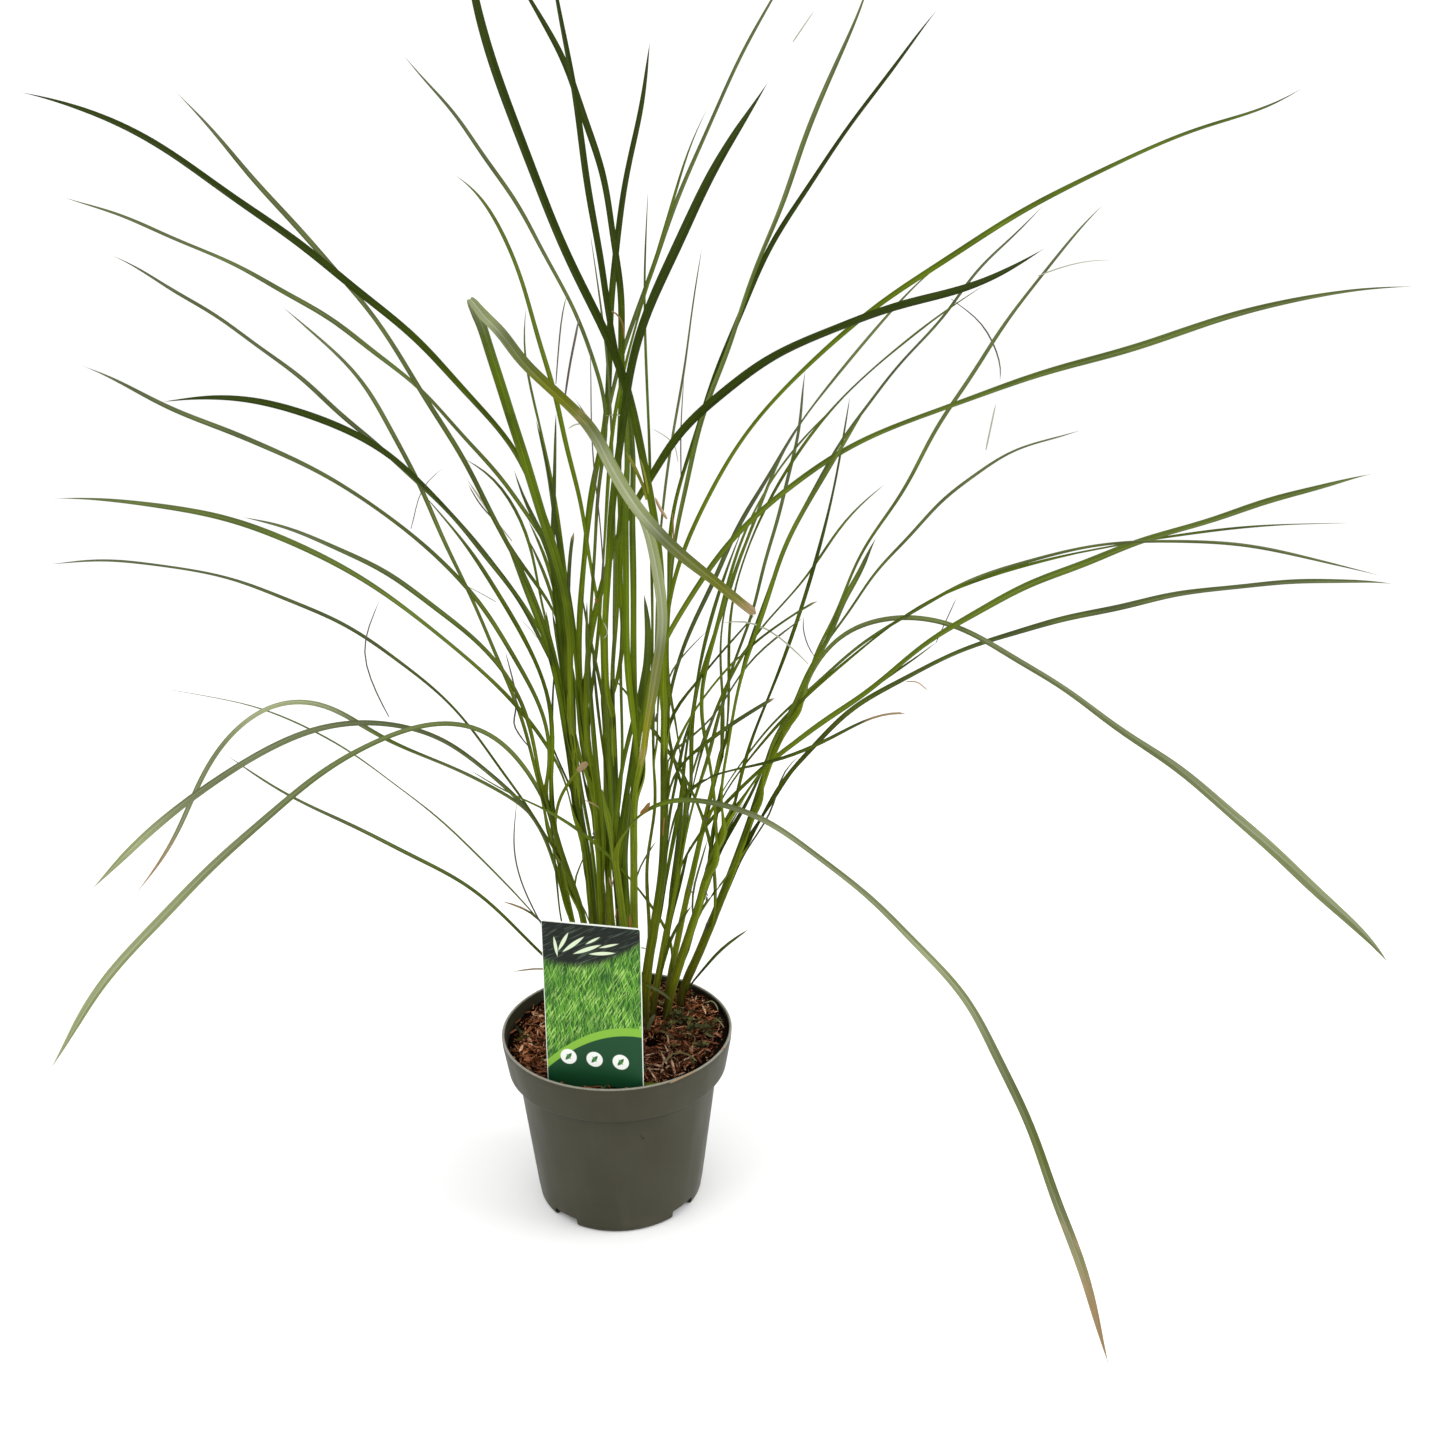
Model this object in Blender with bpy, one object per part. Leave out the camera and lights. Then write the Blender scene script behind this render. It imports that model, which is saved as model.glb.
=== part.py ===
"""A young miscanthus grass clump in a nursery pot, in metres, +Z up.

The origin is the centre of the pot's underside. +X is to the right and -Y is the front. Stems and leaves
run through points that were read off a front view as pixels. Each point lies on its pixel's sight line, at
the depth (its Y) that the stem or leaf has there.
"""

import math
from collections import namedtuple

import bmesh
import bpy
import numpy as np
from mathutils import Matrix, Vector, kdtree

# Pot: a 17 cm nursery pot, turned round Z
RIM_RADIUS = 0.085
POT_HEIGHT = 0.1354
COLLAR_HEIGHT = 0.0288
COLLAR_FOOT_RADIUS = 0.081
WALL_TOP_RADIUS = 0.0745
BASE_RADIUS = 0.0616
FOOT_ROUNDING = 0.003
WALL = 0.0012
STEP_ROUNDING = 0.0008
RIM_THICKNESS = 0.002
FLOOR_THICKNESS = 0.002
ROUND_STEPS = 56
NOTCH_COUNT = 4
NOTCH_HEIGHT = 0.007
NOTCH_WIDTH = 0.022
NOTCH_DEPTH = 0.012
FIRST_NOTCH = math.radians(-38)

# Potting mix, whose top slopes up to the right
MIX_TOP = 0.1275
MIX_SLOPE = 0.055
MIX_LUMP_HEIGHT = 0.0012
MIX_LUMPS = 190
MIX_STEPS = 36
GAP = 0.0004
CUT_BEYOND = 0.003

# Label: a card on a pointed tail
LABEL_WIDTH = 0.0694
LABEL_TOP = 0.2528
LABEL_FOOT = 0.1255
LABEL_THICKNESS = 0.0008
LABEL_CORNER = 0.003
LABEL_MIDDLE = (-0.0105, -0.0685)
LABEL_TURN = math.radians(-11.5)
TAIL_TOP_WIDTH = 0.020
TAIL_LENGTH = 0.030
TAIL_TIP_WIDTH = 0.004

# Front view that the points below were read from: pixels, metres and radians
VIEW_PIXELS = 1400.0
VIEW_MIDDLE = 722.5
VIEW_SPOT = Vector((0.078, -0.917, 0.674))
VIEW_PITCH = math.radians(18.21)

# Stems and leaves
STEM_FOOT_RADIUS = 0.0031
STEM_TOP_RADIUS = 0.0017
STEM_SIDES = 6
STEM_RING_SPACING = 0.05
STEM_LEAST_SPANS = 4
STEM_START = 0.004
SOCKET_DEPTH = 0.014
SOCKET_SIDES = 8
LEAF_RING_SPACING = 0.032
LEAF_LEAST_SPANS = 9
LEAF_FOOT_SHARE = 0.55
LEAF_FULL_WIDTH_AT = 0.22
LEAF_TAPER = 3.6
BLUNT_TAPER = 16.0
BLUNT_LEAVES = ("leaf_front_folded",)
KEEL_SHARE = 0.24
LEAST_KEEL = 0.0005
TWIST_EASING = 8
FINE_STEPS = 12

# Settling of stems and leaves clear of each other
CLEARANCE = 0.0006
SAMPLE_SPACING = 0.004
FIXED_SIZE = 0.0024
SETTLE_ROUNDS = 400

Stem = namedtuple("Stem", "name foot_depth top_depth thick points")
Leaf = namedtuple("Leaf", "name stem foot_row width tip_depth bend face points")

# Stems, from the foot in the mix to the top: depths of both ends, thickness and points
STEMS = (
    Stem("stem_01", 0.022, -0.030, 1.15, (
        (600, 1022), (593, 919), (589, 868), (582, 826), (577, 793), (574, 742), (567, 690),
    )),
    Stem("stem_02", 0.032, 0.035, 1.10, (
        (612, 1016), (601, 919), (600, 840), (593, 784), (586, 728), (580, 680),
    )),
    Stem("stem_03", 0.008, -0.055, 0.95, (
        (597, 1034), (584, 922), (575, 891), (566, 868), (561, 851), (552, 823), (544, 793),
    )),
    Stem("stem_04", 0.040, 0.075, 0.85, (
        (589, 1010), (572, 919), (563, 880), (555, 845), (545, 815),
    )),
    Stem("stem_05", 0.018, 0.060, 1.00, (
        (621, 1026), (611, 919), (608, 868), (606, 812), (606, 760), (604, 700),
    )),
    Stem("stem_06", 0.006, -0.025, 1.00, (
        (628, 1035), (622, 919), (620, 868), (616, 800), (614, 740), (611, 680),
    )),
    Stem("stem_07", 0.000, -0.075, 1.10, (
        (640, 1039), (634, 913), (634, 857), (636, 784), (642, 751),
    )),
    Stem("stem_08", 0.012, -0.040, 1.25, (
        (645, 1031), (649, 953), (660, 896), (664, 823), (664, 760), (664, 700),
    )),
    Stem("stem_09", 0.022, 0.030, 0.95, (
        (653, 1022), (660, 969), (668, 924), (678, 868), (684, 825), (690, 780),
    )),
    Stem("stem_10", 0.020, -0.010, 1.20, (
        (667, 1027), (678, 969), (687, 941), (698, 908), (709, 868), (723, 830), (735, 800),
    )),
    Stem("stem_11", 0.038, 0.060, 1.20, (
        (680, 1012), (694, 975), (709, 922), (723, 894), (737, 857), (760, 793), (777, 742),
        (799, 700),
    )),
    Stem("stem_12", 0.048, 0.105, 0.90, (
        (668, 1004), (676, 950), (686, 900), (698, 850), (712, 790), (724, 740),
    )),
    Stem("stem_13", 0.052, 0.115, 0.90, (
        (648, 1001), (650, 919), (652, 868), (655, 800), (652, 740),
    )),
    Stem("stem_14", 0.052, 0.120, 0.90, (
        (618, 1001), (606, 919), (600, 868), (592, 800), (585, 745),
    )),
    Stem("stem_15", -0.006, -0.090, 1.00, (
        (628, 1043), (627, 960), (621, 905), (612, 840), (602, 790),
    )),
)

# Leaves: stem, row where it leaves the stem, width, depth of the tip, how late it leans out, how much of
# its face it turns to the front, and its points from the tip to the stem
LEAVES = (
    Leaf("leaf_left_01", "stem_01", 745, 0.0042, 0.10, 1.3, 0.6, (
        (172, 87), (234, 156), (316, 250), (349, 285), (404, 365), (440, 421), (464, 462),
        (492, 514), (514, 556), (541, 618), (563, 689),
    )),
    Leaf("leaf_left_02", "stem_01", 700, 0.0058, -0.14, 1.4, 0.8, (
        (14, 92), (56, 98), (98, 112), (136, 133), (171, 156), (231, 195), (308, 251), (369, 296),
        (456, 378), (497, 425), (524, 462), (552, 535), (568, 620),
    )),
    Leaf("leaf_left_03", "stem_14", 748, 0.0046, 0.16, 1.3, 0.6, (
        (60, 196), (96, 206), (136, 223), (237, 266), (327, 315), (404, 373), (481, 457),
        (522, 506), (552, 557), (572, 640),
    )),
    Leaf("leaf_left_04", "stem_14", 800, 0.0034, 0.22, 1.2, 0.6, (
        (108, 253), (136, 268), (231, 326), (305, 380), (377, 443), (418, 479), (470, 535),
        (520, 600), (556, 670),
    )),
    Leaf("leaf_left_05", "stem_04", 835, 0.0036, 0.26, 1.2, 0.6, (
        (278, 304), (347, 365), (380, 410), (421, 490), (462, 580), (508, 683), (536, 770),
    )),
    Leaf("leaf_left_06", "stem_02", 690, 0.0038, 0.24, 1.3, 0.6, (
        (400, 51), (459, 121), (525, 219), (564, 292), (579, 323), (598, 376), (606, 450),
        (600, 560),
    )),
    Leaf("leaf_left_07", "stem_05", 705, 0.0044, 0.16, 1.4, 0.5, (
        (451, 173), (487, 203), (505, 240), (521, 283), (549, 376), (561, 422), (575, 479),
        (589, 557), (600, 620),
    )),
    Leaf("leaf_left_08", "stem_02", 775, 0.0046, -0.04, 1.3, 0.5, (
        (157, 401), (174, 397), (212, 397), (253, 400), (294, 409), (336, 424), (369, 439),
        (426, 487), (459, 520), (492, 558), (519, 599), (541, 632), (565, 700),
    )),
    Leaf("leaf_left_09", "stem_03", 800, 0.0042, 0.10, 1.3, 0.5, (
        (80, 364), (106, 373), (136, 388), (157, 402), (245, 436), (347, 487), (432, 547),
        (467, 583), (497, 619), (522, 662), (541, 712),
    )),
    Leaf("leaf_left_10", "stem_01", 820, 0.0048, -0.06, 1.3, 0.6, (
        (50, 499), (92, 498), (136, 503), (220, 518), (308, 549), (390, 598), (473, 660),
        (508, 693), (558, 753),
    )),
    Leaf("leaf_left_11", "stem_03", 796, 0.0040, 0.14, 1.2, 0.6, (
        (241, 516), (284, 528), (363, 561), (445, 613), (486, 649), (528, 703),
    )),
    Leaf("leaf_left_12", "stem_03", 855, 0.0042, 0.07, 1.2, 0.5, (
        (46, 564), (88, 561), (136, 563), (212, 575), (294, 602), (368, 639), (437, 690),
        (495, 756), (530, 806),
    )),
    Leaf("leaf_left_13", "stem_04", 872, 0.0042, -0.17, 1.2, 0.6, (
        (133, 899), (143, 884), (166, 854), (190, 802), (223, 744), (262, 707), (300, 699),
        (349, 718), (404, 746), (486, 783), (535, 818),
    )),
    Leaf("leaf_left_14", "stem_04", 905, 0.0050, -0.25, 1.3, 0.7, (
        (88, 893), (108, 870), (136, 844), (185, 804), (240, 766), (305, 735), (363, 722),
        (421, 729), (484, 763), (514, 789), (545, 838),
    )),
    Leaf("leaf_left_15", "stem_03", 888, 0.0058, -0.33, 1.4, 0.8, (
        (48, 1072), (70, 1034), (100, 990), (136, 944), (212, 865), (294, 792), (349, 757),
        (385, 736), (445, 724), (497, 741), (539, 796), (560, 846),
    )),
    Leaf("leaf_left_16", "stem_04", 985, 0.0040, -0.10, 1.0, 0.6, (
        (223, 751), (262, 778), (338, 818), (426, 862), (500, 911), (541, 955),
    )),
    Leaf("leaf_front_folded", "stem_01", 718, 0.0072, -0.43, 1.2, 0.9, (
        (757, 613), (735, 594), (709, 577), (681, 557), (653, 526), (631, 501), (608, 456),
        (589, 425), (566, 403), (550, 383), (514, 345), (492, 316), (478, 299), (470, 306),
        (487, 342), (507, 400), (521, 450), (538, 506), (556, 557), (568, 620),
    )),
    Leaf("leaf_front_pale", "stem_07", 755, 0.0066, -0.26, 1.0, 0.9, (
        (572, 396), (600, 440), (616, 476), (636, 507), (649, 533), (658, 574), (662, 624),
        (661, 647), (653, 695), (645, 735),
    )),
    Leaf("leaf_top_01", "stem_08", 702, 0.0062, -0.12, 1.5, 0.7, (
        (456, -120), (460, -84), (467, -40), (475, 0), (485, 34), (504, 98), (530, 168), (552, 222),
        (580, 283), (605, 334), (625, 384), (636, 421), (648, 484), (659, 560), (663, 640),
    )),
    Leaf("leaf_top_02", "stem_05", 712, 0.0046, 0.16, 1.2, 0.6, (
        (498, -46), (514, -26), (531, 0), (561, 56), (586, 121), (600, 168), (611, 222), (617, 267),
        (622, 323), (620, 420), (617, 520), (612, 620),
    )),
    Leaf("leaf_top_03", "stem_05", 722, 0.0046, 0.02, 1.4, 0.5, (
        (544, -82), (550, -45), (557, 0), (568, 62), (577, 112), (591, 205), (600, 258), (608, 317),
        (620, 373), (621, 450), (612, 580), (606, 660),
    )),
    Leaf("leaf_top_04", "stem_02", 715, 0.0046, 0.30, 1.3, 0.5, (
        (651, 38), (646, 76), (636, 132), (625, 191), (617, 239), (610, 337), (606, 410),
        (601, 456), (591, 492), (586, 540), (581, 600), (579, 660),
    )),
    Leaf("leaf_top_05", "stem_14", 756, 0.0042, 0.26, 1.3, 0.6, (
        (797, -46), (785, -25), (771, 0), (749, 42), (709, 126), (673, 213), (642, 297), (626, 345),
        (606, 420), (594, 500), (588, 600), (586, 690),
    )),
    Leaf("leaf_top_06", "stem_06", 700, 0.0060, -0.14, 1.5, 0.7, (
        (770, 77), (749, 112), (726, 149), (687, 224), (653, 300), (639, 342), (630, 376),
        (621, 440), (612, 520), (605, 620),
    )),
    Leaf("leaf_top_07", "stem_09", 785, 0.0044, 0.06, 1.4, 0.6, (
        (876, -44), (872, -24), (867, 0), (858, 17), (841, 48), (813, 118), (779, 210), (757, 262),
        (734, 330), (712, 400), (696, 470), (684, 540), (680, 630), (684, 720),
    )),
    Leaf("leaf_top_08", "stem_13", 745, 0.0050, 0.22, 1.4, 0.6, (
        (941, 6), (904, 53), (860, 113), (827, 160), (777, 236), (740, 314), (726, 348), (698, 429),
        (684, 470), (673, 518), (667, 636), (658, 700),
    )),
    Leaf("leaf_right_01", "stem_02", 748, 0.0056, -0.05, 1.4, 0.7, (
        (1051, 246), (1007, 276), (960, 289), (895, 308), (838, 325), (799, 342), (763, 362),
        (712, 398), (673, 440), (647, 481), (625, 526), (606, 570), (594, 624), (586, 680),
    )),
    Leaf("leaf_right_02", "stem_08", 724, 0.0046, 0.08, 1.4, 0.6, (
        (1306, 86), (1294, 94), (1197, 130), (1109, 167), (1036, 205), (957, 252), (884, 302),
        (843, 335), (790, 383), (749, 431), (704, 507), (684, 546), (668, 620),
    )),
    Leaf("leaf_right_03", "stem_11", 702, 0.0046, 0.22, 1.3, 0.6, (
        (1106, 202), (1062, 249), (1012, 314), (971, 375), (933, 435), (910, 479), (860, 573),
        (841, 619), (819, 656),
    )),
    Leaf("leaf_right_04", "stem_12", 742, 0.0040, 0.32, 1.2, 0.6, (
        (1048, 202), (971, 279), (936, 326), (883, 384), (860, 416), (830, 460), (800, 515),
        (772, 580), (745, 660),
    )),
    Leaf("leaf_right_05", "stem_07", 778, 0.0050, -0.10, 1.4, 0.6, (
        (1420, 287), (1385, 287), (1345, 291), (1309, 297), (1227, 318), (1139, 346), (1051, 372),
        (954, 405), (889, 430), (841, 453), (805, 476), (768, 504), (737, 535), (709, 571),
        (684, 608), (664, 640), (648, 690),
    )),
    Leaf("leaf_right_06", "stem_11", 725, 0.0044, 0.26, 1.2, 0.6, (
        (1083, 430), (1018, 450), (963, 482), (904, 538), (855, 596), (815, 656),
    )),
    Leaf("leaf_right_07", "stem_10", 806, 0.0048, 0.02, 1.3, 0.6, (
        (1376, 474), (1345, 480), (1309, 489), (1227, 516), (1142, 542), (1065, 572), (986, 608),
        (948, 630), (913, 652), (860, 693), (813, 725), (777, 751), (745, 792),
    )),
    Leaf("leaf_right_08", "stem_12", 812, 0.0048, -0.10, 1.4, 0.6, (
        (1386, 578), (1350, 566), (1309, 558), (1227, 543), (1139, 541), (1051, 554), (966, 583),
        (889, 626), (860, 646), (816, 683), (770, 728), (732, 776),
    )),
    Leaf("leaf_right_09", "stem_11", 850, 0.0048, 0.10, 1.2, 0.6, (
        (1396, 585), (1350, 580), (1309, 582), (1197, 592), (1089, 614), (986, 642), (904, 679),
        (860, 704), (812, 745), (770, 795),
    )),
    Leaf("leaf_right_10", "stem_11", 712, 0.0062, -0.30, 1.4, 0.8, (
        (1392, 968), (1366, 937), (1337, 907), (1309, 882), (1282, 860), (1227, 808), (1124, 731),
        (1030, 667), (954, 627), (901, 616), (860, 626), (833, 644), (810, 672),
    )),
    Leaf("leaf_right_11", "stem_15", 845, 0.0064, -0.28, 1.1, 0.8, (
        (1110, 1371), (1104, 1342), (1093, 1302), (1070, 1239), (1046, 1171), (1022, 1112),
        (994, 1049), (959, 990), (911, 938), (860, 891), (819, 857), (749, 814), (692, 798),
        (642, 812),
    )),
    Leaf("leaf_middle_01", "stem_09", 820, 0.0042, 0.14, 1.3, 0.5, (
        (816, 400), (774, 467), (735, 535), (701, 619), (693, 681), (690, 750),
    )),
    Leaf("leaf_middle_02", "stem_10", 862, 0.0044, -0.02, 1.3, 0.5, (
        (841, 400), (791, 453), (749, 523), (722, 600), (710, 680), (716, 750),
    )),
    Leaf("leaf_middle_03", "stem_12", 758, 0.0040, 0.34, 1.3, 0.5, (
        (806, 368), (794, 456), (771, 540), (749, 630), (732, 700),
    )),
    Leaf("leaf_middle_04", "stem_10", 832, 0.0046, -0.12, 1.3, 0.6, (
        (872, 400), (827, 470), (786, 546), (755, 622), (733, 700), (726, 770),
    )),
    Leaf("leaf_middle_05", "stem_11", 800, 0.0054, -0.14, 1.2, 0.7, (
        (880, 535), (833, 636), (800, 700), (770, 770),
    )),
)


def sight_point(pixel, depth):
    """The point at this depth (its Y) on a pixel's sight line."""
    right = (pixel[0] - VIEW_MIDDLE) / VIEW_PIXELS
    rise = (VIEW_MIDDLE - pixel[1]) / VIEW_PIXELS
    way = Matrix.Rotation(-VIEW_PITCH, 3, "X") @ Vector((right, 1, rise))
    return VIEW_SPOT + way * ((depth - VIEW_SPOT.y) / way.y)


def unit(vectors):
    return vectors / np.linalg.norm(vectors, axis=1)[:, None]


def headings(run):
    """The unit direction of a run at each of its points."""
    return unit(np.gradient(run, axis=0))


def run_shares(points):
    """Each point's share of the way along the run, from 0 to 1."""
    steps = np.linalg.norm(np.diff(points, axis=0), axis=1)
    along = np.concatenate([[0.0], np.cumsum(steps)])
    return along / along[-1], along[-1]


def smooth_run(points, count):
    """This many evenly spaced points on a smooth curve through the given ones."""
    points = np.array(points, float)
    shares, _ = run_shares(points)
    slopes = np.gradient(points, shares, axis=0)
    fine = np.linspace(0, 1, FINE_STEPS * count)
    index = np.clip(np.searchsorted(shares, fine, side="right") - 1, 0, len(points) - 2)
    span = (shares[index + 1] - shares[index])[:, None]
    t = (fine - shares[index])[:, None] / span
    curve = (
        (2 * t**3 - 3 * t**2 + 1) * points[index]
        + (t**3 - 2 * t**2 + t) * span * slopes[index]
        + (3 * t**2 - 2 * t**3) * points[index + 1]
        + (t**3 - t**2) * span * slopes[index + 1]
    )
    for _ in range(count):
        curve[1:-1] += 0.25 * (curve[:-2] + curve[2:] - 2 * curve[1:-1])
    shares, _ = run_shares(curve)
    wanted = np.linspace(0, 1, count)
    return np.stack([np.interp(wanted, shares, curve[:, axis]) for axis in range(3)], axis=1)


def stem_depth(stem, share):
    return stem.foot_depth + (stem.top_depth - stem.foot_depth) * share**1.2


def stem_run(stem):
    """A stem's middle line, from the bottom of its socket in the mix to its top."""
    shares, _ = run_shares(np.array(stem.points, float))
    points = [sight_point(pixel, stem_depth(stem, share)) for pixel, share in zip(stem.points, shares)]
    foot = points[0].copy()
    foot.z = MIX_TOP
    below = foot - Vector((0, 0, SOCKET_DEPTH))
    points[0] = foot + Vector((0, 0, STEM_START))
    _, length = run_shares(np.array(points))
    spans = max(STEM_LEAST_SPANS, round(length / STEM_RING_SPACING))
    return np.vstack([below[:], smooth_run(points, spans + 1)])


def stem_radii(stem, run):
    shares, _ = run_shares(run)
    return stem.thick * (STEM_FOOT_RADIUS + (STEM_TOP_RADIUS - STEM_FOOT_RADIUS) * shares)


def leaf_widths(leaf, shares):
    """A grass leaf is narrow at its foot, widest a quarter of the way up and drawn to a long point.

    The folded leaf in front has lost its point, so it stays wide to the end.
    """
    filled = np.clip(shares / LEAF_FULL_WIDTH_AT, 0, 1)
    foot = LEAF_FOOT_SHARE + (1 - LEAF_FOOT_SHARE) * filled
    taper = BLUNT_TAPER if leaf.name in BLUNT_LEAVES else LEAF_TAPER
    return leaf.width * foot * (1 - shares**taper) ** 0.8


def leaf_run(leaf, stem):
    """A leaf's middle line, from beside its stem to its tip."""
    stem_shares, _ = run_shares(np.array(stem.points, float))
    rows = [-row for _, row in stem.points]
    share = np.interp(-leaf.foot_row, rows, stem_shares)
    columns = [column for column, _ in stem.points]
    foot_pixel = (np.interp(-leaf.foot_row, rows, columns), leaf.foot_row)
    foot = sight_point(foot_pixel, stem_depth(stem, share))
    pixels = np.array(leaf.points[::-1], float)
    shares, _ = run_shares(np.vstack([[foot_pixel], pixels]))
    depths = foot.y + (leaf.tip_depth - foot.y) * shares[1:] ** leaf.bend
    points = [sight_point(pixel, depth) for pixel, depth in zip(pixels, depths)]
    heading = points[0] - foot
    heading.z = 0
    heading.normalize()
    beside = heading * (stem.thick * STEM_FOOT_RADIUS + leaf.width * LEAF_FOOT_SHARE / 2)
    points = [foot + beside] + points
    _, length = run_shares(np.array(points))
    spans = max(LEAF_LEAST_SPANS, round(length / LEAF_RING_SPACING))
    return smooth_run(points, spans + 1)


def sight_way(points):
    """Unit vectors along the sight lines of these points."""
    return unit(points - np.array(VIEW_SPOT))


def fixed_points():
    """Points on the label and round the rim, which stems and leaves keep clear of."""
    along = Matrix.Rotation(LABEL_TURN, 3, "Z") @ Vector((1, 0, 0))
    middle = Vector((*LABEL_MIDDLE, 0))
    label = [
        middle + along * across * LABEL_WIDTH / 2 + Vector((0, 0, z))
        for across in np.linspace(-1, 1, 19)
        for z in np.linspace(LABEL_FOOT, LABEL_TOP, 34)
    ]
    rim = [
        Vector((RIM_RADIUS * math.cos(a), RIM_RADIUS * math.sin(a), POT_HEIGHT))
        for a in np.linspace(0, 2 * math.pi, 140, endpoint=False)
    ]
    return np.array([p[:] for p in label + rim])


def settle(runs, sizes, pinned):
    """Moves the runs' points to and fro along their sight lines until each run is clear of the others.

    A run whose first points are pinned is stiff: it gives way only to another stiff one.
    """
    fixed = fixed_points()
    weights = []
    for run in runs:
        _, length = run_shares(run)
        places = np.linspace(0, len(run) - 1, max(len(run), round(length / SAMPLE_SPACING)))
        weights.append(np.maximum(0, 1 - np.abs(places[:, None] - np.arange(len(run))[None])))
    counts = [len(w) for w in weights]
    owner = np.repeat([*range(len(runs)), -1], [*counts, len(fixed)])
    radii = [w @ size for w, size in zip(weights, sizes)]
    radii = np.concatenate([*radii, np.full(len(fixed), FIXED_SIZE)])
    stiff = np.array([who < 0 or pinned[who] > 0 for who in owner])
    starts = np.cumsum([0, *counts])
    reach = 2 * radii.max() + CLEARANCE + SAMPLE_SPACING
    for _ in range(SETTLE_ROUNDS):
        points = np.concatenate([w @ run for w, run in zip(weights, runs)] + [fixed])
        tree = kdtree.KDTree(len(points))
        for index, point in enumerate(points):
            tree.insert(point, index)
        tree.balance()
        ways = sight_way(points)
        push = np.zeros(len(points))
        for index in range(starts[-1]):
            for _, other, distance in tree.find_range(points[index], reach):
                if owner[other] == owner[index]:
                    continue
                need = math.hypot(radii[index] + radii[other] + CLEARANCE, 0.6 * SAMPLE_SPACING)
                short = need - distance
                if short <= 0:
                    continue
                ahead = float((points[index] - points[other]) @ ways[index])
                if abs(ahead) < 1e-4:
                    ahead = 1 if owner[index] > owner[other] else -1
                if stiff[index] and not stiff[other]:
                    continue
                share = short * (0.55 if stiff[index] == stiff[other] else 1.05)
                if share > abs(push[index]):
                    push[index] = math.copysign(share, ahead)
        if not push.any():
            return
        for i, (run, w) in enumerate(zip(runs, weights)):
            part = push[starts[i] : starts[i + 1]]
            near = [part[w[:, ring] > 0] for ring in range(len(run))]
            pull = np.array([samples[np.argmax(np.abs(samples))] for samples in near])
            padded = np.pad(pull, 1, mode="edge")
            eased = 0.25 * padded[:-2] + 0.5 * pull + 0.25 * padded[2:]
            pull = np.where(np.abs(eased) > np.abs(pull), eased, pull + 0.5 * (eased - pull))
            pull[: pinned[i]] = 0
            run += sight_way(run) * pull[:, None]


def make_material(name, colour, roughness):
    material = bpy.data.materials.new(name)
    material.use_nodes = True
    shader = material.node_tree.nodes["Principled BSDF"]
    shader.inputs["Base Color"].default_value = (*colour, 1)
    shader.inputs["Roughness"].default_value = roughness
    shader.inputs["Metallic"].default_value = 0
    return material


def add_object(name, mesh_maker, material):
    """An object whose mesh the given function fills in."""
    mesh = bpy.data.meshes.new(name)
    shape = bmesh.new()
    mesh_maker(shape)
    bmesh.ops.recalc_face_normals(shape, faces=shape.faces)
    shape.to_mesh(mesh)
    shape.free()
    part = bpy.data.objects.new(name, mesh)
    bpy.context.scene.collection.objects.link(part)
    if material:
        mesh.materials.append(material)
    return part


def loft(shape, rings, tip=None):
    """Skins a row of rings with flat ends, or with a point at the far end."""
    rows = [[shape.verts.new(point) for point in ring] for ring in rings]
    sides = len(rows[0])
    for low, high in zip(rows, rows[1:]):
        for i in range(sides):
            j = (i + 1) % sides
            shape.faces.new((low[i], low[j], high[j]))
            shape.faces.new((low[i], high[j], high[i]))
    shape.faces.new(rows[0][::-1])
    if tip is None:
        shape.faces.new(rows[-1])
        return
    end = shape.verts.new(tip)
    for i in range(sides):
        shape.faces.new((rows[-1][i], rows[-1][(i + 1) % sides], end))


def add_stem(stem, run, radii, material):
    def fill(shape):
        angles = [2 * math.pi * k / STEM_SIDES for k in range(STEM_SIDES)]
        rings = []
        for point, way, radius in zip(run, headings(run), radii):
            way = Vector(way)
            side = (Vector((1, 0, 0)) - way * way.x).normalized() * radius
            across = way.cross(side)
            rings.append([Vector(point) + side * math.cos(a) + across * math.sin(a) for a in angles])
        loft(shape, rings)

    part = add_object(stem.name, fill, material)
    part.data.shade_smooth()
    return part


def leaf_sides(leaf, run):
    """The direction across the leaf at each point: part level, part square to the sight line."""
    ways = headings(run)
    level = np.cross((0, 0, 1), run[-1] - run[0])
    level /= np.linalg.norm(level)
    facing = unit(np.cross(ways, np.array(VIEW_SPOT) - run))
    facing *= np.where(facing @ level < 0, -1, 1)[:, None]
    sides = unit((1 - leaf.face) * level + leaf.face * facing)
    for here in range(1, len(sides)):
        if sides[here] @ sides[here - 1] < 0:
            sides[here] *= -1
    for _ in range(TWIST_EASING):
        padded = np.pad(sides, ((1, 1), (0, 0)), mode="edge")
        sides = padded[:-2] + 2 * sides + padded[2:]
        sides = unit(sides - ways * (sides * ways).sum(axis=1)[:, None])
    return sides


def add_leaf(leaf, run, material):
    """A leaf with a flat upper face and a keel under it, which runs out to a point."""
    shares, _ = run_shares(run)
    widths = leaf_widths(leaf, shares)

    def fill(shape):
        rings = []
        for point, way, side, width in zip(run[:-1], headings(run), leaf_sides(leaf, run), widths):
            side = Vector(side)
            under = side.cross(Vector(way))
            keel = max(KEEL_SHARE * width, LEAST_KEEL * min(1, 4 * width / leaf.width))
            centre = Vector(point)
            rings.append((centre + side * width / 2, centre - side * width / 2, centre + under * keel))
        loft(shape, rings, tip=run[-1])

    return add_object(leaf.name, fill, material)


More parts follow.
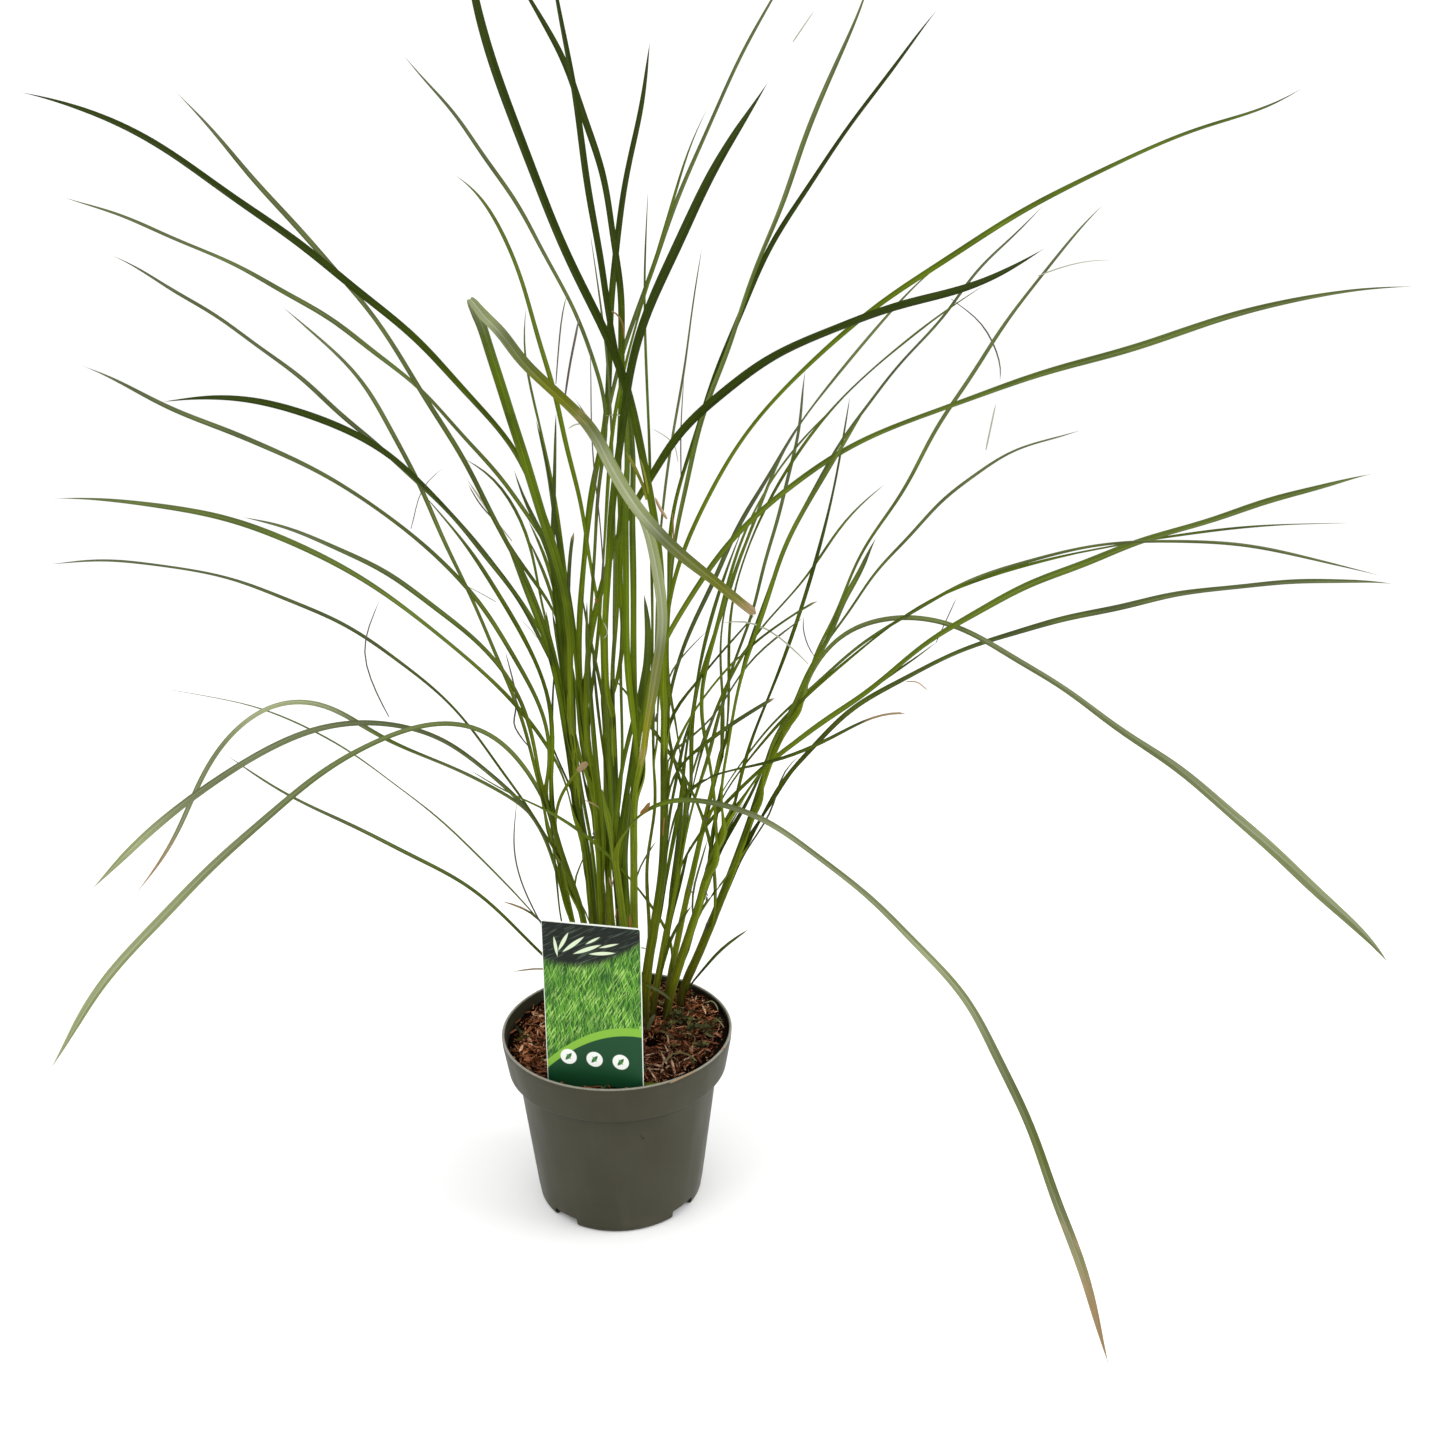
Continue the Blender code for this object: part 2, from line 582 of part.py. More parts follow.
def turned(shape, outline, steps):
    """Turns a closed outline of (radius, height) points round Z."""
    verts = [shape.verts.new((radius, 0, height)) for radius, height in outline]
    edges = [shape.edges.new((a, b)) for a, b in zip(verts, verts[1:])]
    if outline[-1][0] > 0:
        edges.append(shape.edges.new((verts[-1], verts[0])))
    bmesh.ops.spin(shape, geom=verts + edges, axis=(0, 0, 1), angle=2 * math.pi, steps=steps)
    bmesh.ops.remove_doubles(shape, verts=shape.verts, dist=1e-5)


def wall_radius(height):
    """Outer radius of the tapered wall below the collar."""
    share = height / (POT_HEIGHT - COLLAR_HEIGHT)
    return BASE_RADIUS + (WALL_TOP_RADIUS - BASE_RADIUS) * share


def pot_outline():
    """The pot's section from the middle of its underside round to the middle of its floor."""
    collar_foot = POT_HEIGHT - COLLAR_HEIGHT
    outer_foot = [
        (BASE_RADIUS - FOOT_ROUNDING * (1 - math.sin(a)), FOOT_ROUNDING * (1 - math.cos(a)))
        for a in np.linspace(0, math.pi / 2, 4)
    ]
    lip = RIM_THICKNESS / 2
    rim = [
        (RIM_RADIUS - lip + lip * math.cos(a), POT_HEIGHT - lip + lip * math.sin(a))
        for a in np.linspace(0, math.pi, 6)
    ]
    return [
        (0, 0),
        *outer_foot,
        (WALL_TOP_RADIUS, collar_foot - STEP_ROUNDING),
        (WALL_TOP_RADIUS + STEP_ROUNDING, collar_foot),
        (COLLAR_FOOT_RADIUS - STEP_ROUNDING, collar_foot),
        (COLLAR_FOOT_RADIUS, collar_foot + STEP_ROUNDING),
        *rim,
        (COLLAR_FOOT_RADIUS - WALL, collar_foot + STEP_ROUNDING + WALL),
        (WALL_TOP_RADIUS - WALL, collar_foot + WALL),
        (wall_radius(FLOOR_THICKNESS) - WALL, FLOOR_THICKNESS),
        (0, FLOOR_THICKNESS),
    ]


def add_helper(name, mesh_maker):
    """A cutting shape, which isn't part of the object."""
    helper = add_object(name, mesh_maker, None)
    helper.hide_render = True
    helper.display_type = "WIRE"
    return helper


def cut(part, helper):
    boolean = part.modifiers.new(helper.name, "BOOLEAN")
    boolean.operation = "DIFFERENCE"
    boolean.object = helper


def add_box(shape, centre, size, turn=0.0):
    """Adds a box, turned about Z."""
    matrix = Matrix.Translation(centre) @ Matrix.Rotation(turn, 4, "Z") @ Matrix.Diagonal((*size, 1))
    bmesh.ops.create_cube(shape, size=1, matrix=matrix)


def add_pot(material):
    """The turned pot with drain notches through the edge of its floor."""
    pot = add_object("pot", lambda shape: turned(shape, pot_outline(), ROUND_STEPS), material)

    def fill(shape):
        inner, outer = BASE_RADIUS - NOTCH_DEPTH, WALL_TOP_RADIUS
        low, high = -CUT_BEYOND, NOTCH_HEIGHT
        reach = (inner + outer) / 2
        for index in range(NOTCH_COUNT):
            turn = FIRST_NOTCH + 2 * math.pi * index / NOTCH_COUNT
            centre = (reach * math.cos(turn), reach * math.sin(turn), (low + high) / 2)
            add_box(shape, centre, (outer - inner, NOTCH_WIDTH, high - low), turn)

    cut(pot, add_helper("notch_cutter", fill))
    pot.data.shade_smooth()
    pot.data.set_sharp_from_angle(angle=math.radians(35))
    return pot


def mix_outline():
    """The mix's section: it follows the inside of the pot, 0.4 mm clear of it, where its top is lowest."""
    collar_foot = POT_HEIGHT - COLLAR_HEIGHT
    low = NOTCH_HEIGHT + 2 * GAP
    inside = WALL + GAP
    collar_share = (MIX_TOP - MIX_SLOPE * RIM_RADIUS - collar_foot) / COLLAR_HEIGHT
    top_radius = COLLAR_FOOT_RADIUS + (RIM_RADIUS - COLLAR_FOOT_RADIUS) * collar_share
    return [
        (0, low),
        (wall_radius(low) - inside, low),
        (WALL_TOP_RADIUS - inside, collar_foot + inside),
        (COLLAR_FOOT_RADIUS - inside - GAP, collar_foot + STEP_ROUNDING + inside + GAP),
        (top_radius - inside - 2 * GAP, MIX_TOP - MIX_LUMP_HEIGHT),
        *((share * RIM_RADIUS, MIX_TOP) for share in (0.85, 0.62, 0.38, 0.16)),
        (0, MIX_TOP),
    ]


def add_mix(stem_runs, stem_sizes, material):
    """The root ball, with a rough top, a socket for each stem and slots for the label and its tail."""

    def fill(shape):
        turned(shape, mix_outline(), MIX_STEPS)
        for vert in shape.verts:
            if vert.co.z > MIX_TOP - 1e-5:
                x, y = MIX_LUMPS * vert.co.x, MIX_LUMPS * vert.co.y
                vert.co.z += MIX_LUMP_HEIGHT * math.sin(1.7 * x + 2) * math.cos(1.3 * y + x)
            if vert.co.z > MIX_TOP - 2 * MIX_LUMP_HEIGHT:
                vert.co.z += MIX_SLOPE * vert.co.x

    mix = add_object("potting_mix", fill, material)
    high = MIX_TOP + MIX_SLOPE * RIM_RADIUS + CUT_BEYOND

    for name, run in stem_runs.items():
        low = MIX_TOP - SOCKET_DEPTH - GAP
        size = {"radius1": stem_sizes[name].max() + GAP, "radius2": stem_sizes[name].max() + GAP}
        size["depth"] = high - low
        middle = Matrix.Translation((run[0][0], run[0][1], (low + high) / 2))

        def fill_socket(shape, size=size, middle=middle):
            bmesh.ops.create_cone(shape, cap_ends=True, segments=SOCKET_SIDES, matrix=middle, **size)

        cut(mix, add_helper(f"{name}_socket", fill_socket))

    def fill_tail_slot(shape):
        low = LABEL_FOOT - TAIL_LENGTH - GAP
        size = (TAIL_TOP_WIDTH + 2 * GAP, LABEL_THICKNESS + 2 * GAP, high - low)
        add_box(shape, (*LABEL_MIDDLE, (low + high) / 2), size, LABEL_TURN)

    def fill_card_slot(shape):
        low = LABEL_FOOT - GAP
        size = (LABEL_WIDTH + 2 * GAP, LABEL_THICKNESS + 2 * GAP, high - low)
        add_box(shape, (*LABEL_MIDDLE, (low + high) / 2), size, LABEL_TURN)

    cut(mix, add_helper("label_tail_slot", fill_tail_slot))
    cut(mix, add_helper("label_card_slot", fill_card_slot))
    return mix


def add_label(material):
    """The card with rounded corners on its pointed tail, turned to follow the rim."""
    half = LABEL_WIDTH / 2
    corners = []
    for centre, start in ((half - LABEL_CORNER, 0), (LABEL_CORNER - half, 90)):
        for angle in np.radians([start, start + 30, start + 60, start + 90]):
            rise = LABEL_CORNER * (math.sin(angle) - 1)
            corners.append((centre + LABEL_CORNER * math.cos(angle), LABEL_TOP + rise))
    outline = [
        *corners,
        (-half, LABEL_FOOT),
        (-TAIL_TOP_WIDTH / 2, LABEL_FOOT),
        (-TAIL_TIP_WIDTH / 2, LABEL_FOOT - TAIL_LENGTH),
        (TAIL_TIP_WIDTH / 2, LABEL_FOOT - TAIL_LENGTH),
        (TAIL_TOP_WIDTH / 2, LABEL_FOOT),
        (half, LABEL_FOOT),
    ]

    def fill(shape):
        face = shape.faces.new([shape.verts.new((x, -LABEL_THICKNESS / 2, z)) for x, z in outline])
        moved = bmesh.ops.extrude_face_region(shape, geom=[face])["geom"]
        verts = [item for item in moved if isinstance(item, bmesh.types.BMVert)]
        bmesh.ops.translate(shape, verts=verts, vec=(0, LABEL_THICKNESS, 0))

    label = add_object("plant_label", fill, material)
    label.location = (*LABEL_MIDDLE, 0)
    label.rotation_euler.z = LABEL_TURN
    return label


def main():
    for old in list(bpy.data.objects):
        bpy.data.objects.remove(old)
    bpy.context.scene.unit_settings.system = "METRIC"

    stem_runs = {stem.name: stem_run(stem) for stem in STEMS}
    stem_sizes = {stem.name: stem_radii(stem, stem_runs[stem.name]) for stem in STEMS}
    stems = {stem.name: stem for stem in STEMS}
    leaf_runs = {leaf.name: leaf_run(leaf, stems[leaf.stem]) for leaf in LEAVES}
    leaf_sizes = {}
    for leaf in LEAVES:
        shares, _ = run_shares(leaf_runs[leaf.name])
        leaf_sizes[leaf.name] = leaf_widths(leaf, shares) / 2
    settle(
        [*stem_runs.values(), *leaf_runs.values()],
        [*stem_sizes.values(), *leaf_sizes.values()],
        [2] * len(STEMS) + [0] * len(LEAVES),
    )

    pot_plastic = make_material("pot_plastic", (0.040, 0.037, 0.022), 0.55)
    mix_bark = make_material("mix_bark", (0.090, 0.035, 0.020), 0.9)
    label_plastic = make_material("label_plastic", (0.100, 0.300, 0.060), 0.4)
    sheath_green = make_material("sheath_green", (0.080, 0.110, 0.010), 0.5)
    leaf_green = make_material("leaf_green", (0.060, 0.090, 0.006), 0.5)

    add_pot(pot_plastic)
    add_mix(stem_runs, stem_sizes, mix_bark)
    add_label(label_plastic)
    for stem in STEMS:
        add_stem(stem, stem_runs[stem.name], stem_sizes[stem.name], sheath_green)
    for leaf in LEAVES:
        add_leaf(leaf, leaf_runs[leaf.name], leaf_green)


main()
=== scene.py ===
import math
import random
from collections import defaultdict

import bmesh
import bpy
import numpy as np
from mathutils import Matrix, Vector, noise


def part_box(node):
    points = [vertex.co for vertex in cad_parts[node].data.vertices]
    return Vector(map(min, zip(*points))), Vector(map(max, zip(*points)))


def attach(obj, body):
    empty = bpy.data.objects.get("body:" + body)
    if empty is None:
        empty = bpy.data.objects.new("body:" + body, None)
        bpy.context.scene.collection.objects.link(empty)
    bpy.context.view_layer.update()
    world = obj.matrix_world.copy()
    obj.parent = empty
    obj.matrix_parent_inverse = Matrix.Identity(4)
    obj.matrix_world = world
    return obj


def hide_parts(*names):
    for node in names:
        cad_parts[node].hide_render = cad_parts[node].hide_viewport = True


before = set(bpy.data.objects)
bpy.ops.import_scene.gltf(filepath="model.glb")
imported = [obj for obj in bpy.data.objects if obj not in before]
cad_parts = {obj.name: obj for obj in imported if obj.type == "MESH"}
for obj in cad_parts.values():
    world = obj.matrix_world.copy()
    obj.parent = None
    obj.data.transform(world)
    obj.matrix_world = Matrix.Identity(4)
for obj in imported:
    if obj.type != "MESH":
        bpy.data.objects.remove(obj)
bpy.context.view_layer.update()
print("loaded", len(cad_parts), "nodes")


# Shared makers

def keep(piece, slotName, *nodes):  # every piece rides on the one body
    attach(piece, "root")
    if nodes:
        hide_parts(*nodes)
    return piece


def addNode(tree, kind, inputs=None, **settings):
    made = tree.nodes.new(kind)
    for name, value in settings.items():
        setattr(made, name, value)
    for name, value in (inputs or {}).items():
        if isinstance(value, bpy.types.NodeSocket):
            tree.links.new(value, made.inputs[name])
        else:
            made.inputs[name].default_value = value
    return made


def math2(tree, operation, first, second=0.0):
    return addNode(tree, "ShaderNodeMath", {0: first, 1: second}, operation=operation).outputs[0]


def times(tree, first, second):
    return math2(tree, "MULTIPLY", first, second)


def axesOf(tree, vector):
    return addNode(tree, "ShaderNodeSeparateXYZ", {0: vector}).outputs


def fromTo(tree, value, low, high, start=0.0, end=1.0, soft=True):  # value's way from low to high
    steps = "SMOOTHSTEP" if soft else "LINEAR"
    return addNode(tree, "ShaderNodeMapRange", {
        "Value": value, "From Min": low, "From Max": high, "To Min": start, "To Max": end,
    }, interpolation_type=steps).outputs["Result"]


def blendColour(tree, share, first, second, blend="MIX"):
    made = addNode(tree, "ShaderNodeMix", data_type="RGBA", blend_type=blend)
    for socket, value in ((made.inputs[0], share), (made.inputs[6], first), (made.inputs[7], second)):
        if isinstance(value, bpy.types.NodeSocket):
            tree.links.new(value, socket)
        elif isinstance(value, (int, float)):
            socket.default_value = value
        else:
            socket.default_value = (*value, 1)
    return made.outputs[2]


def layered(tree, colour, *layers):  # lays each colour over those before it, by its share
    for share, tint in layers:
        colour = blendColour(tree, share, colour, tint)
    return colour


def placeOf(tree):  # the place on the object, the same in every view
    return addNode(tree, "ShaderNodeTexCoord").outputs["Object"]


def noiseOf(tree, place, scale, detail=2.0, stretch=(1, 1, 1), distortion=0.0):
    moved = addNode(tree, "ShaderNodeMapping", {"Vector": place, "Scale": stretch}).outputs[0]
    return addNode(tree, "ShaderNodeTexNoise", {
        "Vector": moved, "Scale": scale, "Detail": detail, "Distortion": distortion,
    }).outputs["Fac"]


def newMaterial(name, roughness, gloss=0.3):
    material = bpy.data.materials.new(name)
    material.use_nodes = True
    tree = material.node_tree
    shader = tree.nodes["Principled BSDF"]
    shader.inputs["Roughness"].default_value = roughness
    shader.inputs["Specular IOR Level"].default_value = gloss
    return material, tree, shader


def finishMaterial(tree, shader, colour, height=None, depth=0.0, roughness=None):  # depth: metres of bump
    tree.links.new(colour, shader.inputs["Base Color"])
    if roughness is not None:
        tree.links.new(roughness, shader.inputs["Roughness"])
    if height is not None:
        bump = addNode(tree, "ShaderNodeBump", {"Height": height, "Strength": 0.6, "Distance": depth})
        tree.links.new(bump.outputs[0], shader.inputs["Normal"])


def newPiece(name, mesh, *materials):
    for material in materials:
        mesh.materials.append(material)
    piece = bpy.data.objects.new(name, mesh)
    bpy.context.scene.collection.objects.link(piece)
    return piece


def meshFrom(shape, name):
    mesh = bpy.data.meshes.new(name)
    bmesh.ops.recalc_face_normals(shape, faces=shape.faces)
    shape.to_mesh(mesh)
    shape.free()
    return mesh


def bakeModifier(piece, modifier):  # the piece gets the modifier's result as its plain mesh
    bpy.context.view_layer.update()
    made = bpy.data.meshes.new_from_object(piece.evaluated_get(bpy.context.evaluated_depsgraph_get()))
    piece.modifiers.remove(modifier)
    piece.data = made


def unit(vectors):
    return vectors / np.maximum(np.linalg.norm(vectors, axis=-1, keepdims=True), 1e-12)


def alongPath(points):
    return np.concatenate([[0.0], np.cumsum(np.linalg.norm(np.diff(points, axis=0), axis=1))])


def eased(values, at, wanted):  # smooth curve through rows of values
    slopes = np.gradient(values, at, axis=0)
    index = np.clip(np.searchsorted(at, wanted, side="right") - 1, 0, len(at) - 2)
    span = (at[index + 1] - at[index])[:, None]
    t = (wanted - at[index])[:, None] / span
    return (
        (2 * t**3 - 3 * t**2 + 1) * values[index]
        + (t**3 - 2 * t**2 + t) * span * slopes[index]
        + (3 * t**2 - 2 * t**3) * values[index + 1]
        + (t**3 - t**2) * span * slopes[index + 1]
    )


def smoothStep(values, low, high):
    t = np.clip((values - low) / (high - low), 0, 1)
    return t * t * (3 - 2 * t)


# Camera, at the place that the model's points were read from

view = {"spot": (0.078, -0.917, 0.674), "pitch": 18.21, "focalPixels": 1400.0, "framePixels": 1445.0}
camera = bpy.data.objects.new("camera", bpy.data.cameras.new("camera"))
camera.data.sensor_width = 36.0
camera.data.lens = camera.data.sensor_width * view["focalPixels"] / view["framePixels"]
camera.location = view["spot"]
camera.rotation_euler = (math.radians(90 - view["pitch"]), 0, 0)
bpy.context.scene.collection.objects.link(camera)
bpy.context.scene.camera = camera


def sightPoint(pixel, depth):  # the point at this depth (its Y) on a pixel's sight line
    middle = view["framePixels"] / 2
    right = (pixel[0] - middle) / view["focalPixels"]
    rise = (middle - pixel[1]) / view["focalPixels"]
    way = Matrix.Rotation(-math.radians(view["pitch"]), 3, "X") @ Vector((right, 1, rise))
    spot = Vector(view["spot"])
    return np.array(spot + way * ((depth - spot.y) / way.y))


def pixelsOf(points):
    turn = Matrix.Rotation(math.radians(view["pitch"]), 3, "X")
    away = (points - np.array(view["spot"])) @ np.array(turn).T
    scale = view["focalPixels"] / away[:, 1:2]
    return view["framePixels"] / 2 + scale * away[:, [0, 2]] * (1, -1)


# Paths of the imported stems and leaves

def weldedNode(node):
    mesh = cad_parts[node].data
    places = {}
    index = [places.setdefault(tuple(round(c, 6) for c in v.co), len(places)) for v in mesh.vertices]
    neighbours = defaultdict(set)
    for face in mesh.polygons:
        corners = [index[i] for i in face.vertices]
        for a, b in zip(corners, corners[1:] + corners[:1]):
            if a != b:
                neighbours[a].add(b)
                neighbours[b].add(a)
    return np.array(list(places)), neighbours


def ringsFrom(points, neighbours, start):
    rings, seen = [start], set(start)
    while rings[-1]:
        ring = sorted({j for i in rings[-1] for j in neighbours[i]} - seen)
        seen.update(ring)
        rings.append(ring)
    return [points[ring] for ring in rings[:-1]]


def stemPath(node):  # middle line and radius, from the foot up
    points, neighbours = weldedNode(node)
    foot = [int(i) for i in np.argsort(points[:, 2])[:6]]
    rings = ringsFrom(points, neighbours, foot)
    centres = np.array([ring.mean(axis=0) for ring in rings])
    radii = np.array([np.linalg.norm(ring - ring.mean(axis=0), axis=1).mean() for ring in rings])
    return centres, radii


def leafPath(node):  # middle line, direction across and width, from the foot to the tip
    points, neighbours = weldedNode(node)
    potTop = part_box("pot")[1].z
    reach = np.linalg.norm(points - (0, 0, potTop), axis=1)
    tip = max((i for i in neighbours if len(neighbours[i]) == 3), key=lambda i: reach[i])
    rings = ringsFrom(points, neighbours, [tip])
    centres, sides, widths = [], [], []
    for ring in rings[1:]:
        width, i, j = max((np.linalg.norm(ring[i] - ring[j]), i, j) for i, j in ((0, 1), (1, 2), (0, 2)))
        side = (ring[i] - ring[j]) / width
        if sides and side @ sides[-1] < 0:
            side = -side
        centres.append((ring[i] + ring[j]) / 2)
        sides.append(side)
        widths.append(width)
    return (
        np.array([rings[0][0], *centres])[::-1],
        np.array([sides[0], *sides])[::-1],
        np.array([0.0, *widths])[::-1],
    )


stems = {name: stemPath(name) for name in sorted(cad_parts) if name.startswith("stem_")}
leaves = {name: leafPath(name) for name in sorted(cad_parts) if name.startswith("leaf_")}
print("read", len(stems), "stems and", len(leaves), "leaves")


# Plant skin: blade, sheath and stalk share it, with tones painted on each blade

plantTints = {
    "warm": (0.215, 0.205, 0.008), "pale": (0.150, 0.166, 0.094), "palest": (0.305, 0.335, 0.180),
    "shade": (0.62, 0.67, 0.45), "light": (1.55, 1.5, 2.2), "paintedFootShade": (0.034, 0.028, 0.004),
    "straw": ((0.15, 0.085, 0.028), (0.44, 0.33, 0.19)),
}


def plantSkin(name, deep, fresh, ribs, streaks, gloss):
    tints = plantTints
    material, tree, shader = newMaterial(name, 0.6, gloss)
    tone = addNode(tree, "ShaderNodeAttribute", attribute_name="tone")
    channels = addNode(tree, "ShaderNodeSeparateColor", {0: tone.outputs["Color"]})
    dry, pale, warm, own = *channels.outputs[:3], tone.outputs["Alpha"]
    place = addNode(tree, "ShaderNodeUVMap", uv_map="bladeMap").outputs[0]
    across = axesOf(tree, place)[0]
    world = placeOf(tree)
    shift = addNode(tree, "ShaderNodeCombineXYZ", {"Y": times(tree, own, 37.0)}).outputs[0]
    shifted = addNode(tree, "ShaderNodeVectorMath", {0: place, 1: shift}).outputs[0]  # veins of its own

    clouds = noiseOf(tree, world, 26, 3)
    veins = noiseOf(tree, shifted, ribs, 2, (1, 0.05, 1))
    flecks = noiseOf(tree, shifted, 9, 4, (1, 0.35, 1))
    share = math2(tree, "ADD", times(tree, clouds, 0.8), times(tree, own, 0.8))
    colour = blendColour(tree, fromTo(tree, share, 0.30, 1.15), deep, fresh)
    colour = layered(
        tree, colour, (warm, tints["warm"]),
        (fromTo(tree, pale, 0, 0.7, 0, 0.85, False), tints["pale"]),
        (fromTo(tree, pale, 0.5, 1.0), tints["palest"]),
    )
    offMiddle = math2(tree, "ABSOLUTE", math2(tree, "SUBTRACT", across, 0.5))
    shaded = blendColour(tree, 1.0, colour, tints["shade"], "MULTIPLY")
    colour = layered(
        tree, colour, (fromTo(tree, veins, 0.44, 0.66, 0, 0.8), shaded),
        (fromTo(tree, across, 0.50, 0.60, 0, 0.55), shaded),
        (fromTo(tree, offMiddle, 0.40, 0.5, 0, 0.45), shaded),
    )
    lit = blendColour(tree, 1.0, colour, tints["light"], "MULTIPLY")
    apart = addNode(tree, "ShaderNodeVectorMath", {0: world, 1: (1, 1, 0)}, operation="MULTIPLY").outputs[0]
    apart = addNode(tree, "ShaderNodeVectorMath", {0: apart}, operation="LENGTH").outputs["Value"]
    # Painted shade: low down near the middle, blades and stalks darken where the clump shades its own foot
    low = fromTo(tree, axesOf(tree, world)[2], 0.130, 0.175, 0.85, 0)
    atFoot = times(tree, low, fromTo(tree, apart, 0.07, 0.085, 1, 0))
    straw = blendColour(tree, flecks, *tints["straw"])
    dryShare = math2(tree, "ADD", dry, times(tree, math2(tree, "SUBTRACT", flecks, 0.5), 0.7))
    dryShare = times(tree, fromTo(tree, dryShare, 0.30, 0.62), fromTo(tree, dry, 0.02, 0.15))
    colour = layered(
        tree, colour, (fromTo(tree, offMiddle, 0.03, 0.09, 0.6, 0.0), lit),
        (fromTo(tree, veins, 0.28, 0.44, streaks, 0.0), lit),
        (atFoot, tints["paintedFootShade"]), (dryShare, straw),
    )
    finishMaterial(tree, shader, colour, veins, 0.0004)
    return material


bladeSkin = plantSkin("grassBlade", (0.025, 0.041, 0.0012), (0.118, 0.172, 0.005), 16, 0.35, 0.05)
stalkSkin = plantSkin("grassStalk", (0.036, 0.054, 0.0008), (0.135, 0.178, 0.006), 22, 0.8, 0.06)


# Blades: a closed thin strip along a path, flat, folded or rolled round a stem

bladeShape = {
    "spacing": 0.0045, "creasedSpacing": 0.0022, "fineSpacing": 0.008,
    "thick": 0.00022, "midribThick": 0.0004, "fold": 0.30, "roll": 0.2,
    "twist": 16.0, "twistLength": 0.24, "wave": 0.0005, "easing": 44, "footSlim": 0.14,
    "sheathRoll": 1.9, "shortSheath": 0.045, "longerBy": 0.05, "sheathFoot": 0.010,
    "sheathRings": ((1.0, 0.84), (0.80, 1.02), (0.50, 1.04), (0.22, 1.05)),  # share down, and fit on the stem
    "creaseReach": 0.045, "brokenEnd": 0.9, "tip": (0.002, 0.001),
    # stretches past the blade's foot, over which it opens, leaves the stem, is eased and is twisted
    "opens": (-0.012, 0.018), "leaves": (-0.005, 0.075), "eases": (0, 0.04), "twists": (0.02, 0.12),
}
sections = {"full": ((-1, -0.55, 0, 0.55, 1), (0.55, 0, -0.55)), "fine": ((-1, 0, 1), (0,))}


def newStore():
    return {"points": [], "faces": [], "across": [], "along": [], "tones": []}


def addBlade(store, path, kind="full"):
    upper, lower = sections[kind]
    spots = [(a, 0.0) for a in upper] + [(a, 1.0) for a in lower]
    count = len(spots)
    ways = unit(np.gradient(path["centres"], axis=0))
    sides = unit(path["sides"] - ways * (path["sides"] * ways).sum(axis=1)[:, None])
    ups = np.cross(ways, sides)
    start = len(store["points"])
    along = alongPath(path["centres"])
    rows = len(along) - 1
    for k in range(rows):
        half, roll, fold = path["halves"][k], path["rolls"][k], path["folds"][k]
        for a, below in spots:
            flat = half * math.sin(a * roll) / roll
            rise = half * (1 - math.cos(a * roll)) / roll + fold * abs(a) * half
            thick = bladeShape["midribThick"] if a == 0 else bladeShape["thick"]
            rise -= below * min(thick, 0.4 * half)
            store["points"].append(path["centres"][k] + sides[k] * flat + ups[k] * rise)
            store["across"].append((a + 1) / 2)
            store["along"].append(along[k])
            store["tones"].append(path["tones"][k])
    store["points"].append(path["centres"][rows])
    store["across"].append(0.5)
    store["along"].append(along[rows])
    store["tones"].append(path["tones"][rows])
    for k in range(rows - 1):
        low, high = start + k * count, start + (k + 1) * count
        for i in range(count):
            j = (i + 1) % count
            store["faces"].append((low + i, low + j, high + j, high + i))
    last, end = start + (rows - 1) * count, start + rows * count
    store["faces"].append(tuple(start + i for i in range(count)))
    store["faces"].extend((last + i, last + (i + 1) % count, end) for i in range(count))


def storedMesh(store, name):
    mesh = bpy.data.meshes.new(name)
    mesh.from_pydata([tuple(p) for p in store["points"]], [], store["faces"])
    shape = bmesh.new()
    shape.from_mesh(mesh)
    bmesh.ops.recalc_face_normals(shape, faces=shape.faces)
    shape.to_mesh(mesh)
    shape.free()
    return mesh


def storedPiece(store, name, material):
    mesh = storedMesh(store, name)
    corners = np.empty(len(mesh.loops), int)
    mesh.loops.foreach_get("vertex_index", corners)
    places = np.stack([np.array(store["across"]), np.array(store["along"]) / 0.02], axis=1)[corners]
    mesh.uv_layers.new(name="bladeMap").data.foreach_set("uv", places.astype(np.float32).ravel())
    tones = mesh.color_attributes.new("tone", "FLOAT_COLOR", "POINT")
    tones.data.foreach_set("color", np.array(store["tones"], np.float32).ravel())
    mesh.shade_smooth()
    mesh.set_sharp_from_angle(angle=math.radians(55))
    return newPiece(name, mesh, material)


def smoothed(path, passes, weights):  # rounds off a path where its weights are high, and keeps its arcs
    def eroded(rows):
        rows = rows.copy()
        for _ in range(passes):
            rows[1:-1] += 0.25 * (rows[:-2] + rows[2:] - 2 * rows[1:-1]) * weights[1:-1, None]
        return rows
    once = eroded(path)
    return once + eroded(path - once)


